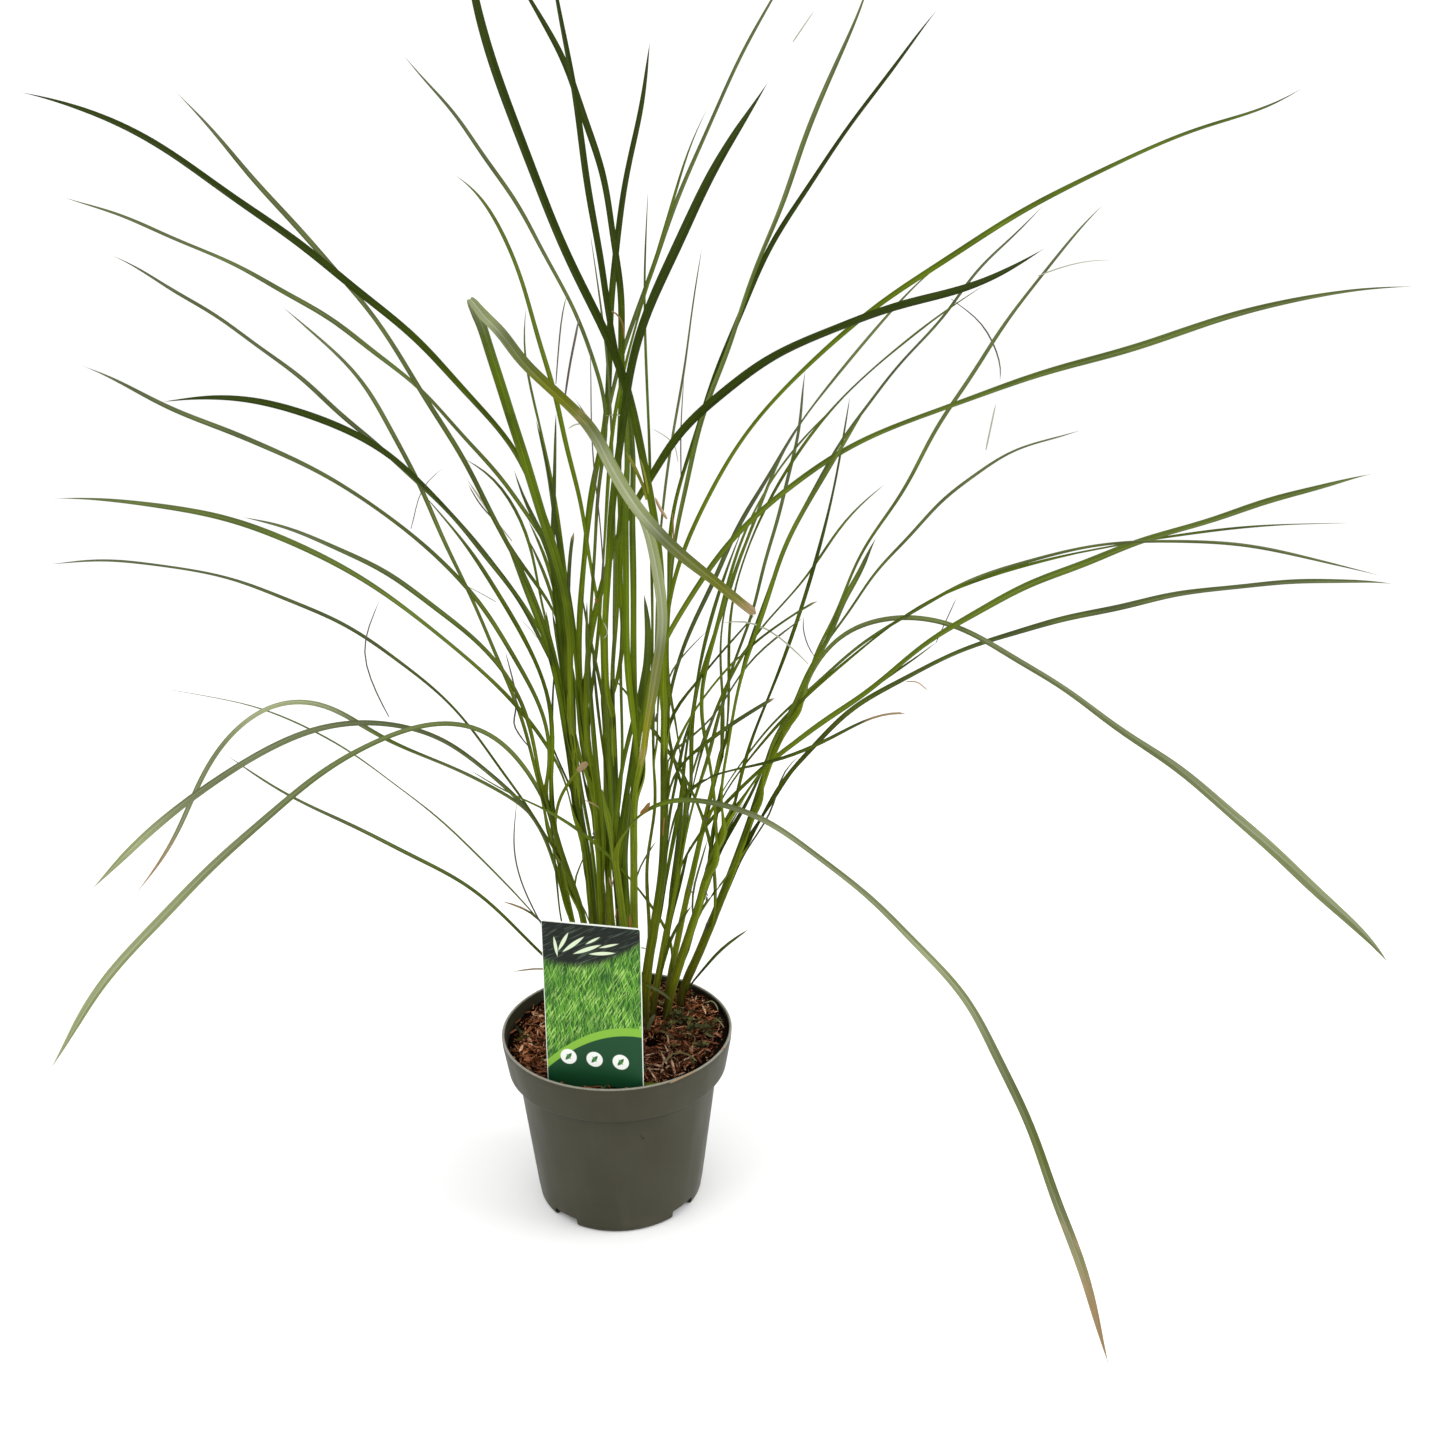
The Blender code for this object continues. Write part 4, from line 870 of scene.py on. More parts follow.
# Each leaf: tone, stem, row where it grips the stem, width in mm, depth of its tip and its points
fineLeaves = {
    "fine_left": (
        ("grey", "stem_04", 985, 1.2, 0.12, (
            (165, 689), (220, 699), (262, 709), (311, 730), (352, 753), (393, 784), (436, 816), (473, 851),
            (505, 883), (528, 908), (545, 928))),
        ("dryTip", "stem_04", 985, 2.6, 0.02, ((501, 901), (516, 906), (530, 912), (540, 921), (549, 934))),
        ("dry", "stem_04", 986, 1.4, 0.01, ((512, 972), (541, 969))),
        ("green", "stem_01", 745, 2.6, 0.02, (
            (556, 413), (555, 445), (554, 478), (553, 530), (552, 556), (555, 590), (560, 640))),
        ("green", "stem_02", 740, 1.8, 0.10, (
            (526, 307), (523, 329), (526, 362), (536, 411), (554, 493), (564, 560), (574, 650))),
        ("green", "stem_01", 735, 2.0, 0.02, (
            (465, 459), (480, 466), (493, 478), (506, 495), (518, 516), (527, 536), (532, 556), (536, 577),
            (540, 600), (547, 628), (556, 660))),
        ("dryTip", "stem_14", 770, 2.4, 0.10, (
            (467, 479), (482, 501), (496, 523), (508, 545), (520, 563), (533, 580), (545, 597), (556, 617),
            (566, 645))),
        ("green", "stem_03", 822, 2.6, 0.12, (
            (426, 497), (440, 514), (455, 532), (470, 551), (485, 573), (500, 597), (515, 622), (530, 652),
            (541, 677), (550, 708))),
        ("green", "stem_01", 700, 3.2, 0.00, (
            (514, 470), (519, 490), (527, 507), (536, 524), (544, 540), (552, 562), (558, 590),
            (563, 620))),
        ("green", "stem_14", 765, 3.2, 0.04, (
            (536, 420), (542, 445), (548, 475), (552, 500), (556, 525), (561, 552), (566, 580), (572, 620),
            (578, 670))),
        ("green", "stem_01", 745, 2.4, 0.02, (
            (528, 520), (537, 538), (546, 560), (553, 582), (559, 610), (564, 645))),
        ("green", "stem_01", 750, 2.6, 0.04, (
            (529, 540), (538, 560), (547, 582), (554, 606), (560, 640), (563, 670))),
        ("green", "stem_01", 770, 3.2, 0.04, (
            (505, 540), (513, 556), (521, 578), (531, 602), (541, 628), (550, 655), (556, 685))),
    ),
    "fine_top": (
        ("green", "stem_02", 725, 2.2, 0.10, (
            (708, 107), (692, 140), (678, 185), (653, 269), (630, 350), (614, 420), (609, 470), (607, 510),
            (604, 560), (598, 640))),
        ("grey", "stem_13", 762, 1.7, 0.22, (
            (702, 247), (694, 297), (684, 373), (673, 432), (662, 520), (656, 640))),
        ("grey", "stem_12", 775, 1.9, 0.22, (
            (998, 227), (933, 270), (875, 330), (830, 385), (790, 440), (755, 520), (725, 610))),
        ("green", "stem_12", 768, 1.9, 0.18, (
            (986, 284), (933, 320), (901, 346), (860, 381), (815, 430), (770, 500), (738, 580))),
        ("grey", "stem_06", 735, 1.5, 0.20, ((590, 232), (600, 300), (610, 400), (614, 520), (614, 620))),
        ("green", "stem_13", 756, 1.8, 0.20, ((648, 190), (645, 260), (646, 360), (650, 470), (652, 600))),
    ),
    "fine_right": (
        ("green", "stem_10", 850, 1.9, 0.06, (
            (1350, 523), (1309, 524), (1227, 529), (1183, 535), (1100, 549), (1040, 562), (1000, 573),
            (958, 588), (925, 604), (893, 624), (868, 645), (845, 663), (822, 682), (800, 702), (780, 723),
            (763, 743), (752, 757), (742, 770), (733, 782), (724, 795), (716, 810), (711, 822))),
        ("brownCut", "stem_08", 850, 2.0, -0.10, (
            (906, 714), (888, 713), (871, 717), (858, 725), (838, 735), (812, 747), (785, 758), (755, 766),
            (730, 772), (702, 780), (686, 795))),
        ("green", "stem_10", 830, 2.2, 0.08, ((850, 396), (833, 495), (805, 596), (774, 686), (748, 750))),
        ("green", "stem_09", 800, 1.8, 0.10, ((885, 484), (850, 515), (805, 580), (754, 638), (716, 710))),
        ("greenCut", "stem_08", 790, 2.2, -0.05, (
            (818, 601), (800, 611), (775, 628), (755, 644), (740, 656), (722, 676), (704, 698), (692, 716),
            (684, 731), (677, 746), (672, 757))),
        ("greenCut", "stem_08", 805, 2.3, -0.06, (
            (775, 698), (760, 707), (750, 713), (738, 720), (727, 728), (716, 736), (697, 751), (688, 760),
            (678, 769))),
        ("grey", "stem_08", 760, 1.6, 0.00, (
            (804, 617), (799, 621), (790, 628), (780, 635), (768, 645), (757, 655), (747, 666), (738, 679),
            (731, 690), (722, 704), (712, 720))),
        ("green", "stem_08", 760, 2.0, 0.02, (
            (756, 613), (749, 622), (741, 632), (730, 643), (720, 655), (710, 667), (702, 677), (692, 690),
            (682, 701), (675, 710), (669, 722))),
        ("grey", "stem_08", 720, 1.0, 0.04, (
            (707, 631), (695, 643), (688, 651), (680, 660), (672, 671), (667, 683))),
        ("green", "stem_11", 992, 2.0, 0.00, ((749, 929), (721, 950), (702, 972))),
        ("green", "stem_09", 925, 2.2, 0.10, (
            (938, 641), (930, 649), (915, 659), (900, 668), (885, 678), (868, 692), (850, 705), (830, 718),
            (810, 731), (792, 744), (775, 757), (760, 770), (747, 783), (736, 794), (724, 804), (713, 817),
            (704, 830), (694, 845), (684, 860), (677, 876), (672, 893))),
        ("grey", "stem_11", 890, 1.2, 0.06, (
            (800, 755), (785, 768), (778, 790), (772, 810), (763, 826), (757, 834), (750, 845),
            (745, 853))),
        ("green", "stem_11", 885, 2.4, 0.08, (
            (835, 727), (820, 742), (800, 760), (790, 774), (780, 790), (770, 807), (758, 825), (746, 840),
            (739, 853))),
    ),
    "fine_centre": (
        ("green", "stem_12", 985, 1.9, -0.15, (
            (470, 770), (490, 783), (515, 796), (549, 812), (582, 833), (616, 864), (639, 891), (660, 920),
            (672, 945))),
        ("green", "stem_11", 925, 2.2, -0.07, (
            (608, 672), (622, 688), (636, 704), (653, 731), (667, 750), (679, 768), (690, 789), (699, 810),
            (705, 825), (710, 843), (713, 860), (715, 880), (715, 898))),
        ("greenCut", "stem_01", 760, 2.0, -0.04, (
            (574, 532), (571, 548), (569, 575), (569, 640), (574, 700))),
        ("green", "stem_01", 830, 3.4, 0.00, (
            (546, 610), (550, 645), (555, 680), (560, 712), (565, 745), (571, 780))),
        ("green", "stem_01", 815, 3.2, 0.01, (
            (552, 610), (558, 650), (563, 685), (567, 720), (570, 750), (574, 782))),
        ("green", "stem_01", 870, 2.2, -0.01, (
            (545, 725), (553, 750), (561, 768), (569, 785), (576, 808), (582, 835))),
        ("green", "stem_04", 890, 1.6, 0.02, (
            (556, 650), (553, 695), (552, 740), (552, 785), (554, 815), (558, 840))),
        ("green", "stem_01", 920, 1.2, -0.01, ((586, 851), (580, 868), (574, 884))),
        ("green", "stem_04", 985, 1.7, 0.03, ((549, 800), (552, 835), (556, 875), (561, 922))),
        ("green", "stem_02", 960, 2.6, -0.005, (
            (579, 765), (582, 795), (587, 822), (592, 852), (595, 885), (597, 922))),
        ("green", "stem_02", 870, 3.0, -0.01, (
            (587, 600), (587, 640), (589, 680), (592, 720), (596, 760), (600, 795), (604, 830))),
        ("green", "stem_05", 850, 1.9, 0.02, (
            (592, 640), (595, 680), (598, 712), (602, 745), (606, 775), (608, 800))),
        ("green", "stem_05", 870, 2.8, -0.02, (
            (604, 640), (606, 690), (609, 730), (610, 765), (611, 800), (613, 835))),
        ("green", "stem_05", 790, 2.0, 0.02, (
            (581, 590), (586, 620), (592, 647), (598, 672), (603, 700), (607, 730))),
        ("green", "stem_15", 850, 1.7, 0.02, ((622, 600), (621, 650), (621, 700), (622, 745), (621, 785))),
        ("green", "stem_07", 770, 3.4, 0.03, (
            (618, 350), (622, 385), (625, 410), (627, 440), (627, 470), (625, 500), (625, 525), (626, 560),
            (627, 600), (627, 640), (628, 680), (631, 705))),
        ("green", "stem_07", 775, 3.4, 0.00, (
            (626, 380), (629, 405), (631, 430), (634, 455), (634, 480), (632, 510), (633, 545), (633, 590),
            (633, 640), (634, 690), (636, 725))),
        ("green", "stem_07", 810, 4.4, -0.03, (
            (644, 594), (647, 612), (648, 640), (645, 680), (641, 715), (637, 755), (634, 785))),
        ("green", "stem_15", 840, 2.8, -0.02, (
            (646, 650), (641, 688), (634, 720), (627, 747), (621, 778), (618, 805))),
        ("green", "stem_15", 870, 3.6, -0.03, (
            (640, 690), (636, 735), (631, 772), (626, 802), (622, 830), (620, 850))),
        ("green", "stem_06", 950, 4.6, -0.015, (
            (634, 780), (629, 812), (626, 842), (626, 875), (627, 905), (627, 925))),
        ("green", "stem_06", 975, 2.4, 0.00, ((611, 850), (613, 880), (616, 905), (617, 925))),
        ("green", "stem_08", 915, 2.6, 0.00, (
            (744, 525), (735, 548), (727, 570), (717, 600), (711, 620), (706, 640), (702, 657), (699, 675),
            (696, 695), (692, 715), (689, 735), (686, 757), (684, 775), (682, 795), (679, 815), (675, 832),
            (672, 848), (669, 865), (666, 885))),
        ("green", "stem_09", 800, 2.6, 0.06, (
            (760, 512), (750, 533), (742, 552), (735, 572), (727, 600), (720, 620), (714, 638), (708, 655),
            (703, 670), (698, 688), (695, 705), (692, 730))),
        ("green", "stem_08", 860, 2.2, 0.03, (
            (692, 716), (685, 735), (682, 752), (679, 768), (676, 785), (672, 803), (669, 822))),
        ("green", "stem_09", 885, 2.5, 0.02, (
            (735, 664), (731, 680), (726, 695), (720, 708), (717, 722), (714, 736), (711, 750), (706, 765),
            (702, 780), (696, 795), (692, 810), (689, 825), (686, 840), (683, 852))),
        ("grey", "stem_09", 830, 1.6, -0.01, (
            (719, 706), (712, 720), (706, 733), (701, 746), (697, 760), (693, 773), (689, 787))),
        ("green", "stem_10", 880, 3.4, 0.02, (
            (772, 745), (762, 772), (757, 785), (750, 798), (743, 811), (737, 822), (730, 833), (722, 845),
            (716, 857))),
        ("grey", "stem_10", 870, 1.1, 0.01, (
            (745, 800), (738, 812), (732, 822), (727, 832), (722, 841), (718, 850))),
        ("green", "stem_10", 880, 2.4, 0.04, (
            (726, 765), (723, 782), (719, 800), (716, 818), (713, 835), (710, 850))),
        ("grey", "stem_10", 920, 1.3, 0.03, ((708, 838), (704, 851), (700, 866), (696, 880), (692, 894))),
        ("green", "stem_09", 940, 2.9, 0.02, (
            (683, 790), (682, 805), (680, 825), (678, 845), (676, 862), (673, 882), (670, 900))),
        ("green", "stem_09", 960, 2.2, 0.03, (
            (690, 845), (686, 858), (683, 872), (680, 887), (676, 902), (672, 918))),
        ("green", "stem_10", 950, 2.0, 0.00, (
            (738, 857), (726, 879), (718, 889), (710, 898), (703, 908), (697, 918))),
        ("green", "stem_09", 965, 2.0, 0.00, ((692, 905), (685, 915), (678, 926), (671, 939))),
        ("grey", "stem_07", 885, 1.0, -0.01, ((657, 840), (651, 848), (646, 857), (641, 865))),
    ),
}
# Hairs and curls: tone, width in mm and points, tip first
hairs = (
    ("dusky", 0.8, ((380, 599), (364, 650), (374, 687), (389, 717))),
    ("dusky", 0.7, ((443, 468), (426, 484), (411, 529))),
    ("dusky", 1.1, ((505, 650), (511, 674), (516, 696), (515, 717), (513, 722), (517, 732), (530, 748))),
    ("whitish", 1.0, ((815, 10), (804, 26), (793, 42))),
    ("dusky", 1.0, ((1000, 381), (1000, 364), (983, 326), (951, 299))),
    ("whitish", 0.9, ((1115, 260), (1092, 261), (1060, 268), (1038, 276))),
    ("whitish", 0.8, ((996, 403), (986, 450))),
    ("tan", 0.9, ((904, 682), (916, 682), (927, 690))),
    ("dusky", 0.7, ((957, 597), (936, 643))),
    ("whitish", 1.0, ((721, 623), (749, 622), (777, 636), (808, 664))),
    ("dusky", 0.7, ((804, 616), (803, 626), (805, 637), (809, 648), (814, 656))),
    ("dusky", 0.8, ((684, 376), (681, 430), (681, 484))),
    ("dusky", 0.8, ((590, 342), (591, 380), (591, 412), (594, 470), (600, 520), (604, 580), (606, 610))),
    ("dusky", 0.9, ((567, 294), (563, 310), (560, 335), (556, 384))),
    ("dusky", 1.5, ((579, 317), (576, 335), (571, 360), (565, 398))),
    ("russet", 1.0, ((607, 310), (617, 314), (623, 326), (624, 338))),
    ("whitish", 0.9, ((605, 416), (615, 415), (625, 416))),
    ("whitish", 0.6, ((651, 428), (663, 435), (673, 443), (678, 462))),
    ("whitish", 0.9, ((466, 477), (476, 494), (492, 516), (512, 541))),
    ("dusky", 0.8, ((468, 484), (480, 504), (496, 522))),
    ("whitish", 0.7, ((462, 584), (478, 592), (496, 602))),
    ("whitish", 0.6, ((521, 620), (529, 628), (537, 638))),
    ("whitish", 0.7, ((568, 429), (575, 425), (582, 424))),
    ("tan", 1.6, ((655, 497), (660, 508), (667, 519))),
    ("dusky", 0.9, ((517, 800), (514, 832), (515, 856), (521, 880), (529, 900), (540, 922), (549, 938))),
)
# Dried scales on the stems: tone, width in mm and points, top first
scales = (
    ("russet", 1.5, ((665, 812), (664, 824), (663, 836))),
    ("russet", 2.4, ((650, 802), (648, 806), (645, 810), (641, 814))),
    ("dusky", 2.4, ((658, 712), (657, 717), (656, 722))),
    ("dusky", 2.0, ((704, 819), (706, 819), (708, 820))),
    ("dusky", 2.2, ((595, 831), (594, 835), (593, 840))),
    ("tan", 1.4, ((609, 877), (610, 883), (612, 888))),
    ("tan", 1.2, ((614, 876), (613, 882), (612, 888))),
    ("russet", 1.8, ((617, 908), (617, 914), (616, 921))),
    ("russet", 1.8, ((630, 914), (630, 921), (631, 928))),
    ("dusky", 2.2, ((709, 921), (707, 925), (706, 930))),
    ("dusky", 1.2, ((688, 884), (690, 890), (693, 894))),
    ("dusky", 1.2, ((704, 890), (707, 895), (706, 901))),
    ("whitish", 0.9, ((640, 948), (643, 948), (646, 949))),
    ("tan", 0.9, ((584, 800), (591, 803), (597, 806), (600, 811))),
    ("whitish", 0.9, ((603, 622), (606, 628), (607, 634), (604, 638))),
    ("russet", 1.8, ((595, 598), (596, 600), (597, 603))),
    ("russet", 1.3, ((672, 511), (673, 526), (673, 541))),
    ("yellow", 2.6, ((626, 452), (635, 470), (642, 486), (646, 500))),
    ("yellow", 2.0, ((640, 458), (644, 474), (648, 494))),
)
bud = {
    "pixels": (
        (560, 862), (556, 838), (556, 815), (560, 799), (568, 784), (575, 775), (580, 769), (583, 766),
        (587, 763),
    ),
    "radii": (0.0010, 0.0010, 0.0010, 0.0011, 0.0011, 0.0013, 0.0018, 0.0026, 0.0015),
    "rings": 40, "sides": 10,
}


huskTints = {
    "dusky": (0.085, 0.070, 0.055), "pale": (0.36, 0.38, 0.28),
    "warm": (0.17, 0.080, 0.005), "dry": (0.45, 0.30, 0.17),
}


def husk():  # dry, hair-thin parts of the plant
    tints = huskTints
    material, tree, shader = newMaterial("dryHusk", 0.7, 0.1)
    tone = addNode(tree, "ShaderNodeAttribute", attribute_name="tone").outputs["Color"]
    dry, pale, warm = addNode(tree, "ShaderNodeSeparateColor", {0: tone}).outputs[:3]
    colour = layered(tree, tints["dusky"], (pale, tints["pale"]), (warm, tints["warm"]), (dry, tints["dry"]))
    finishMaterial(tree, shader, colour)
    return material


def nearest(pixel):  # how far a pixel is from the nearest stem or blade, and the depth of its front
    spots = np.vstack(drawn)
    apart = np.linalg.norm(pixelsOf(spots) - pixel, axis=1)
    return apart.min(), spots[apart < apart.min() + nearShape["within"], 1].min()


def addHair(store, tone, width, points):
    ends = [nearest(pixel) for pixel in (points[-1], points[0])]
    held = min(ends)[1]  # the nearer plant carries it, and it leans to the other as far as its length lets it
    lean = nearShape["lean"] * np.linalg.norm(np.subtract(points[0], points[-1]))
    depths = [
        np.clip(depth, held - lean, held + lean) if gap < nearShape["hairReach"] else held
        for gap, depth in ends
    ]
    rows = [sightPoint(pixel, y) for pixel, y in zip(points[::-1], np.linspace(*depths, len(points)))]
    hang(store, tone, np.array(rows), width)


def addScale(store, tone, width, points):
    depth = nearest(points[len(points) // 2])[1] - nearShape["scaleAhead"]
    hang(store, tone, np.array([sightPoint(pixel, depth) for pixel in points[::-1]]), width)


def cutBud():  # a short stalk that ends in a blunt swelling
    depth = nearest(bud["pixels"][0])[1]
    rows = np.array([sightPoint(pixel, depth) for pixel in bud["pixels"]])
    at = alongPath(rows)
    fine = np.linspace(0, at[-1], bud["rings"])
    dry = smoothStep(fine, at[-4], at[-2])
    plain = np.ones(bud["rings"])
    tones = np.stack([dry, 0.2 * dry, 0.2 * plain, 0.6 * plain], axis=1)
    store = newStore()
    addTube(store, eased(rows, at, fine), np.interp(fine, at, bud["radii"]), tones, bud["sides"], 0.0)
    return storedPiece(store, "cut_bud", stalkSkin)


for name, listed in fineLeaves.items():
    store = newStore()
    for entry in listed:
        fineLeaf(store, *entry)
    keep(storedPiece(store, name, bladeSkin), "leaf_green")
store = newStore()
for entry in hairs:
    addHair(store, *entry)
huskSkin = husk()
keep(storedPiece(store, "dry_curls", huskSkin), "leaf_green")
store, yellow = newStore(), newStore()
for entry in scales:
    addScale(yellow if entry[0] == "yellow" else store, *entry)
keep(storedPiece(store, "stem_scales", huskSkin), "leaf_green")
keep(storedPiece(yellow, "yellow_streaks", bladeSkin), "leaf_green")
keep(cutBud(), "leaf_green")
print("made the fine leaves")


# Pot: turned round Z, with drain notches through the edge of its floor

potShape = {
    "rimRadius": 0.085, "height": 0.1354, "collarFoot": 0.1066, "collarFootRadius": 0.081,
    "wallTopRadius": 0.0745, "baseRadius": 0.0616, "footRounding": 0.003, "wall": 0.0012,
    "lip": 0.001, "floor": 0.002, "stepRounding": 0.0012, "steps": 160,
    "notches": 4, "firstNotch": -38.0, "notchWidth": 0.022, "notchHeight": 0.007, "notchDepth": 0.012,
    "notchRounding": 0.0012, "belowFloor": 0.01, "rimDraft": 0.0004, "rimBand": 0.006,
}


def wallRadius(height):
    share = height / potShape["collarFoot"]
    return potShape["baseRadius"] + (potShape["wallTopRadius"] - potShape["baseRadius"]) * share


def arc(middle, radius, start, end, count):
    return [
        (middle[0] + radius * math.cos(a), middle[1] + radius * math.sin(a))
        for a in np.radians(np.linspace(start, end, count))
    ]


def turnedMesh(shape, outline, steps):  # an outline, turned round Z
    angles = np.linspace(0, 2 * math.pi, steps + 1)[:-1]
    rings = [
        [shape.verts.new((r * math.cos(a), r * math.sin(a), z)) for a in angles]
        if r > 0 else [shape.verts.new((0, 0, z))]
        for r, z in outline
    ]
    for low, high in zip(rings, rings[1:]):
        for i in range(steps):
            j = (i + 1) % steps
            corners = [low[i % len(low)], low[j % len(low)], high[j % len(high)], high[i % len(high)]]
            shape.faces.new(list(dict.fromkeys(corners)))


potTints = {
    "deep": (0.035, 0.0325, 0.0165), "plain": (0.043, 0.0405, 0.0235), "streak": (0.052, 0.051, 0.034),
    "shade": (0.010, 0.009, 0.005), "wornAndHighlight": (0.26, 0.25, 0.20), "dust": (0.08, 0.072, 0.05),
    "speck": (0.012, 0.011, 0.008),
}


def potPlastic():
    tints = potTints
    material, tree, shader = newMaterial("potPlastic", 0.46, 0.2)
    world = placeOf(tree)
    clouds = noiseOf(tree, world, 22, 4)
    streaks = noiseOf(tree, world, 60, 3, (1, 1, 0.12))
    grain = noiseOf(tree, world, 1400, 2)
    height = axesOf(tree, world)[2]
    underCollar = times(
        tree, fromTo(tree, height, 0.098, 0.1058), fromTo(tree, height, 0.1064, 0.1068, 1, 0))
    # The lip's thin pale line is wear and a painted highlight where the rolled top of the rim catches the
    # light
    wearAndHighlight = times(tree, fromTo(tree, height, 0.1342, 0.1351), fromTo(tree, grain, 0.3, 0.6, 0.6, 1))
    dust = times(tree, fromTo(tree, height, 0.016, 0.0, 0, 0.35), fromTo(tree, clouds, 0.4, 0.6))
    specks = 0.0
    for middle, size in potMarks:
        apart = addNode(tree, "ShaderNodeVectorMath", {0: world, 1: middle}, operation="DISTANCE")
        specks = math2(tree, "MAXIMUM", fromTo(tree, apart.outputs["Value"], size, size * 0.4), specks)
    colour = layered(
        tree, tints["deep"], (fromTo(tree, clouds, 0.3, 0.7), tints["plain"]),
        (fromTo(tree, streaks, 0.5, 0.75, 0, 0.35), tints["streak"]),
        (times(tree, underCollar, 0.42), tints["shade"]), (wearAndHighlight, tints["wornAndHighlight"]), (dust, tints["dust"]),
        (times(tree, specks, 0.8), tints["speck"]),
    )
    rough = fromTo(tree, streaks, 0.3, 0.7, 0.40, 0.52)
    finishMaterial(tree, shader, colour, grain, 0.00006, rough)
    return material


def sightOnPot(pixel):  # where a pixel's sight line meets the pot's wall
    start = Vector(view["spot"])
    way = Vector(sightPoint(pixel, 0.0)) - start
    for step in np.linspace(0.8, 1.1, 3001):
        spot = start + way * step
        if math.hypot(spot.x, spot.y) < wallRadius(spot.z):
            return tuple(spot)


potMarks = (
    (sightOnPot((643, 1138)), 0.0016), (sightOnPot((641, 1136)), 0.0011),
    (sightOnPot((574, 1131)), 0.0007), (sightOnPot((596, 1205)), 0.0006),
)


def pot():
    s = potShape
    foot, step, lip = s["footRounding"], s["stepRounding"], s["lip"]
    outline = [
        (0, 0), (s["baseRadius"] - s["notchDepth"] * 1.5, 0),
        *arc((s["baseRadius"] - foot, foot), foot, -90, 0, 8),
        *((wallRadius(z), z) for z in np.linspace(0.012, s["collarFoot"] - 2 * step, 9)),
        *arc((s["wallTopRadius"] + step, s["collarFoot"] - step), step, 180, 90, 5),
        *arc((s["collarFootRadius"] - step, s["collarFoot"] + step), step, -90, 0, 6),
        (s["rimRadius"] - s["rimDraft"], s["height"] - s["rimBand"]),
        *arc((s["rimRadius"] - lip, s["height"] - lip), lip, 0, 180, 10),
        (s["collarFootRadius"] - s["wall"], s["collarFoot"] + step + s["wall"]),
        (s["wallTopRadius"] - s["wall"], s["collarFoot"] + s["wall"]),
        (wallRadius(s["floor"]) - s["wall"], s["floor"]), (0, s["floor"]),
    ]
    shape = bmesh.new()
    turnedMesh(shape, outline, s["steps"])
    piece = newPiece("pot_shell", meshFrom(shape, "pot_shell"), potPlastic())
    cutter = bmesh.new()
    inner, outer = s["baseRadius"] - s["notchDepth"], s["wallTopRadius"]
    for index in range(s["notches"]):
        turn = Matrix.Rotation(math.radians(s["firstNotch"] + 360 / s["notches"] * index), 4, "Z")
        place = Matrix.Translation(((inner + outer) / 2, 0, s["notchHeight"] - s["belowFloor"]))
        size = Matrix.Diagonal((outer - inner, s["notchWidth"], 2 * s["belowFloor"], 1))
        bmesh.ops.create_cube(cutter, size=1, matrix=turn @ place @ size)
    rounding = s["notchRounding"]
    bmesh.ops.bevel(cutter, geom=cutter.edges, offset=rounding, segments=3, profile=0.5, affect="EDGES")
    tool = newPiece("notchCutter", meshFrom(cutter, "notchCutter"))
    cut = piece.modifiers.new("notches", "BOOLEAN")
    cut.operation = "DIFFERENCE"
    cut.object = tool
    bakeModifier(piece, cut)
    bpy.data.objects.remove(tool)
    piece.data.shade_smooth()
    piece.data.set_sharp_from_angle(angle=math.radians(40))
    return piece


keep(pot(), "pot_plastic", "pot")
print("made the pot")


# Potting mix: the root ball, and the litter that lies on it

mixShape = {
    "low": 0.0078, "top": 0.1275, "slope": 0.055, "backSlope": 0.04, "edge": 0.0812, "spread": 0.007,
    "shoulder": 0.002, "clear": 0.0004, "aboveStep": 0.003, "rings": 42, "steps": 180,
    "litterRings": 60, "litterSteps": 120, "lump": 0.0022, "grit": 0.0011,
    "lumpScale": 60, "gritScale": 300,
    "hollowPixel": (654, 1041), "hollowRadius": 0.013, "hollowDepth": 0.009,
}
labelShape = {
    "width": 0.0694, "top": 0.2528, "foot": 0.1255, "thick": 0.0008, "corner": 0.003, "bevel": 0.00012,
    "middle": (-0.0105, -0.0685), "turn": -11.5, "tailTop": 0.020, "tailLength": 0.030, "tailTip": 0.004,
}


def onMix(pixel, lift=0.0):  # where a pixel's sight line meets the mix's sloping top, raised by lift
    start = Vector(view["spot"])
    way = Vector(sightPoint(pixel, 0.0)) - start
    rise = mixShape["top"] + lift + mixShape["slope"] * start.x - start.z
    return start + way * (rise / (way.z - mixShape["slope"] * way.x))


hollow = onMix(mixShape["hollowPixel"])


def inHollow(x, y):  # 1 in the middle of the hollow beside the stems, 0 outside it
    return smoothStep(math.hypot(x - hollow.x, y - hollow.y) / mixShape["hollowRadius"], 1, 0.2)


def mixHeight(x, y):
    lump = noise.noise(Vector((x, y, 0)) * mixShape["lumpScale"]) * mixShape["lump"]
    grit = noise.noise(Vector((x, y, 1)) * mixShape["gritScale"]) * mixShape["grit"]
    plain = mixShape["top"] + mixShape["slope"] * x + mixShape["backSlope"] * max(y, 0)
    return plain + lump + grit - mixShape["hollowDepth"] * inHollow(x, y)


barkTints = {
    "ground": ((0.0015, 0.0007, 0.0003), (0.009, 0.004, 0.0016)), "dark": (0.008, 0.003, 0.0012),
    "brown": (0.076, 0.023, 0.008), "russet": (0.24, 0.090, 0.042), "fresh": (0.50, 0.32, 0.21),
    "paintedBackLight": (1.7, 1.7, 1.55), "pores": (0.008, 0.003, 0.0015),
}


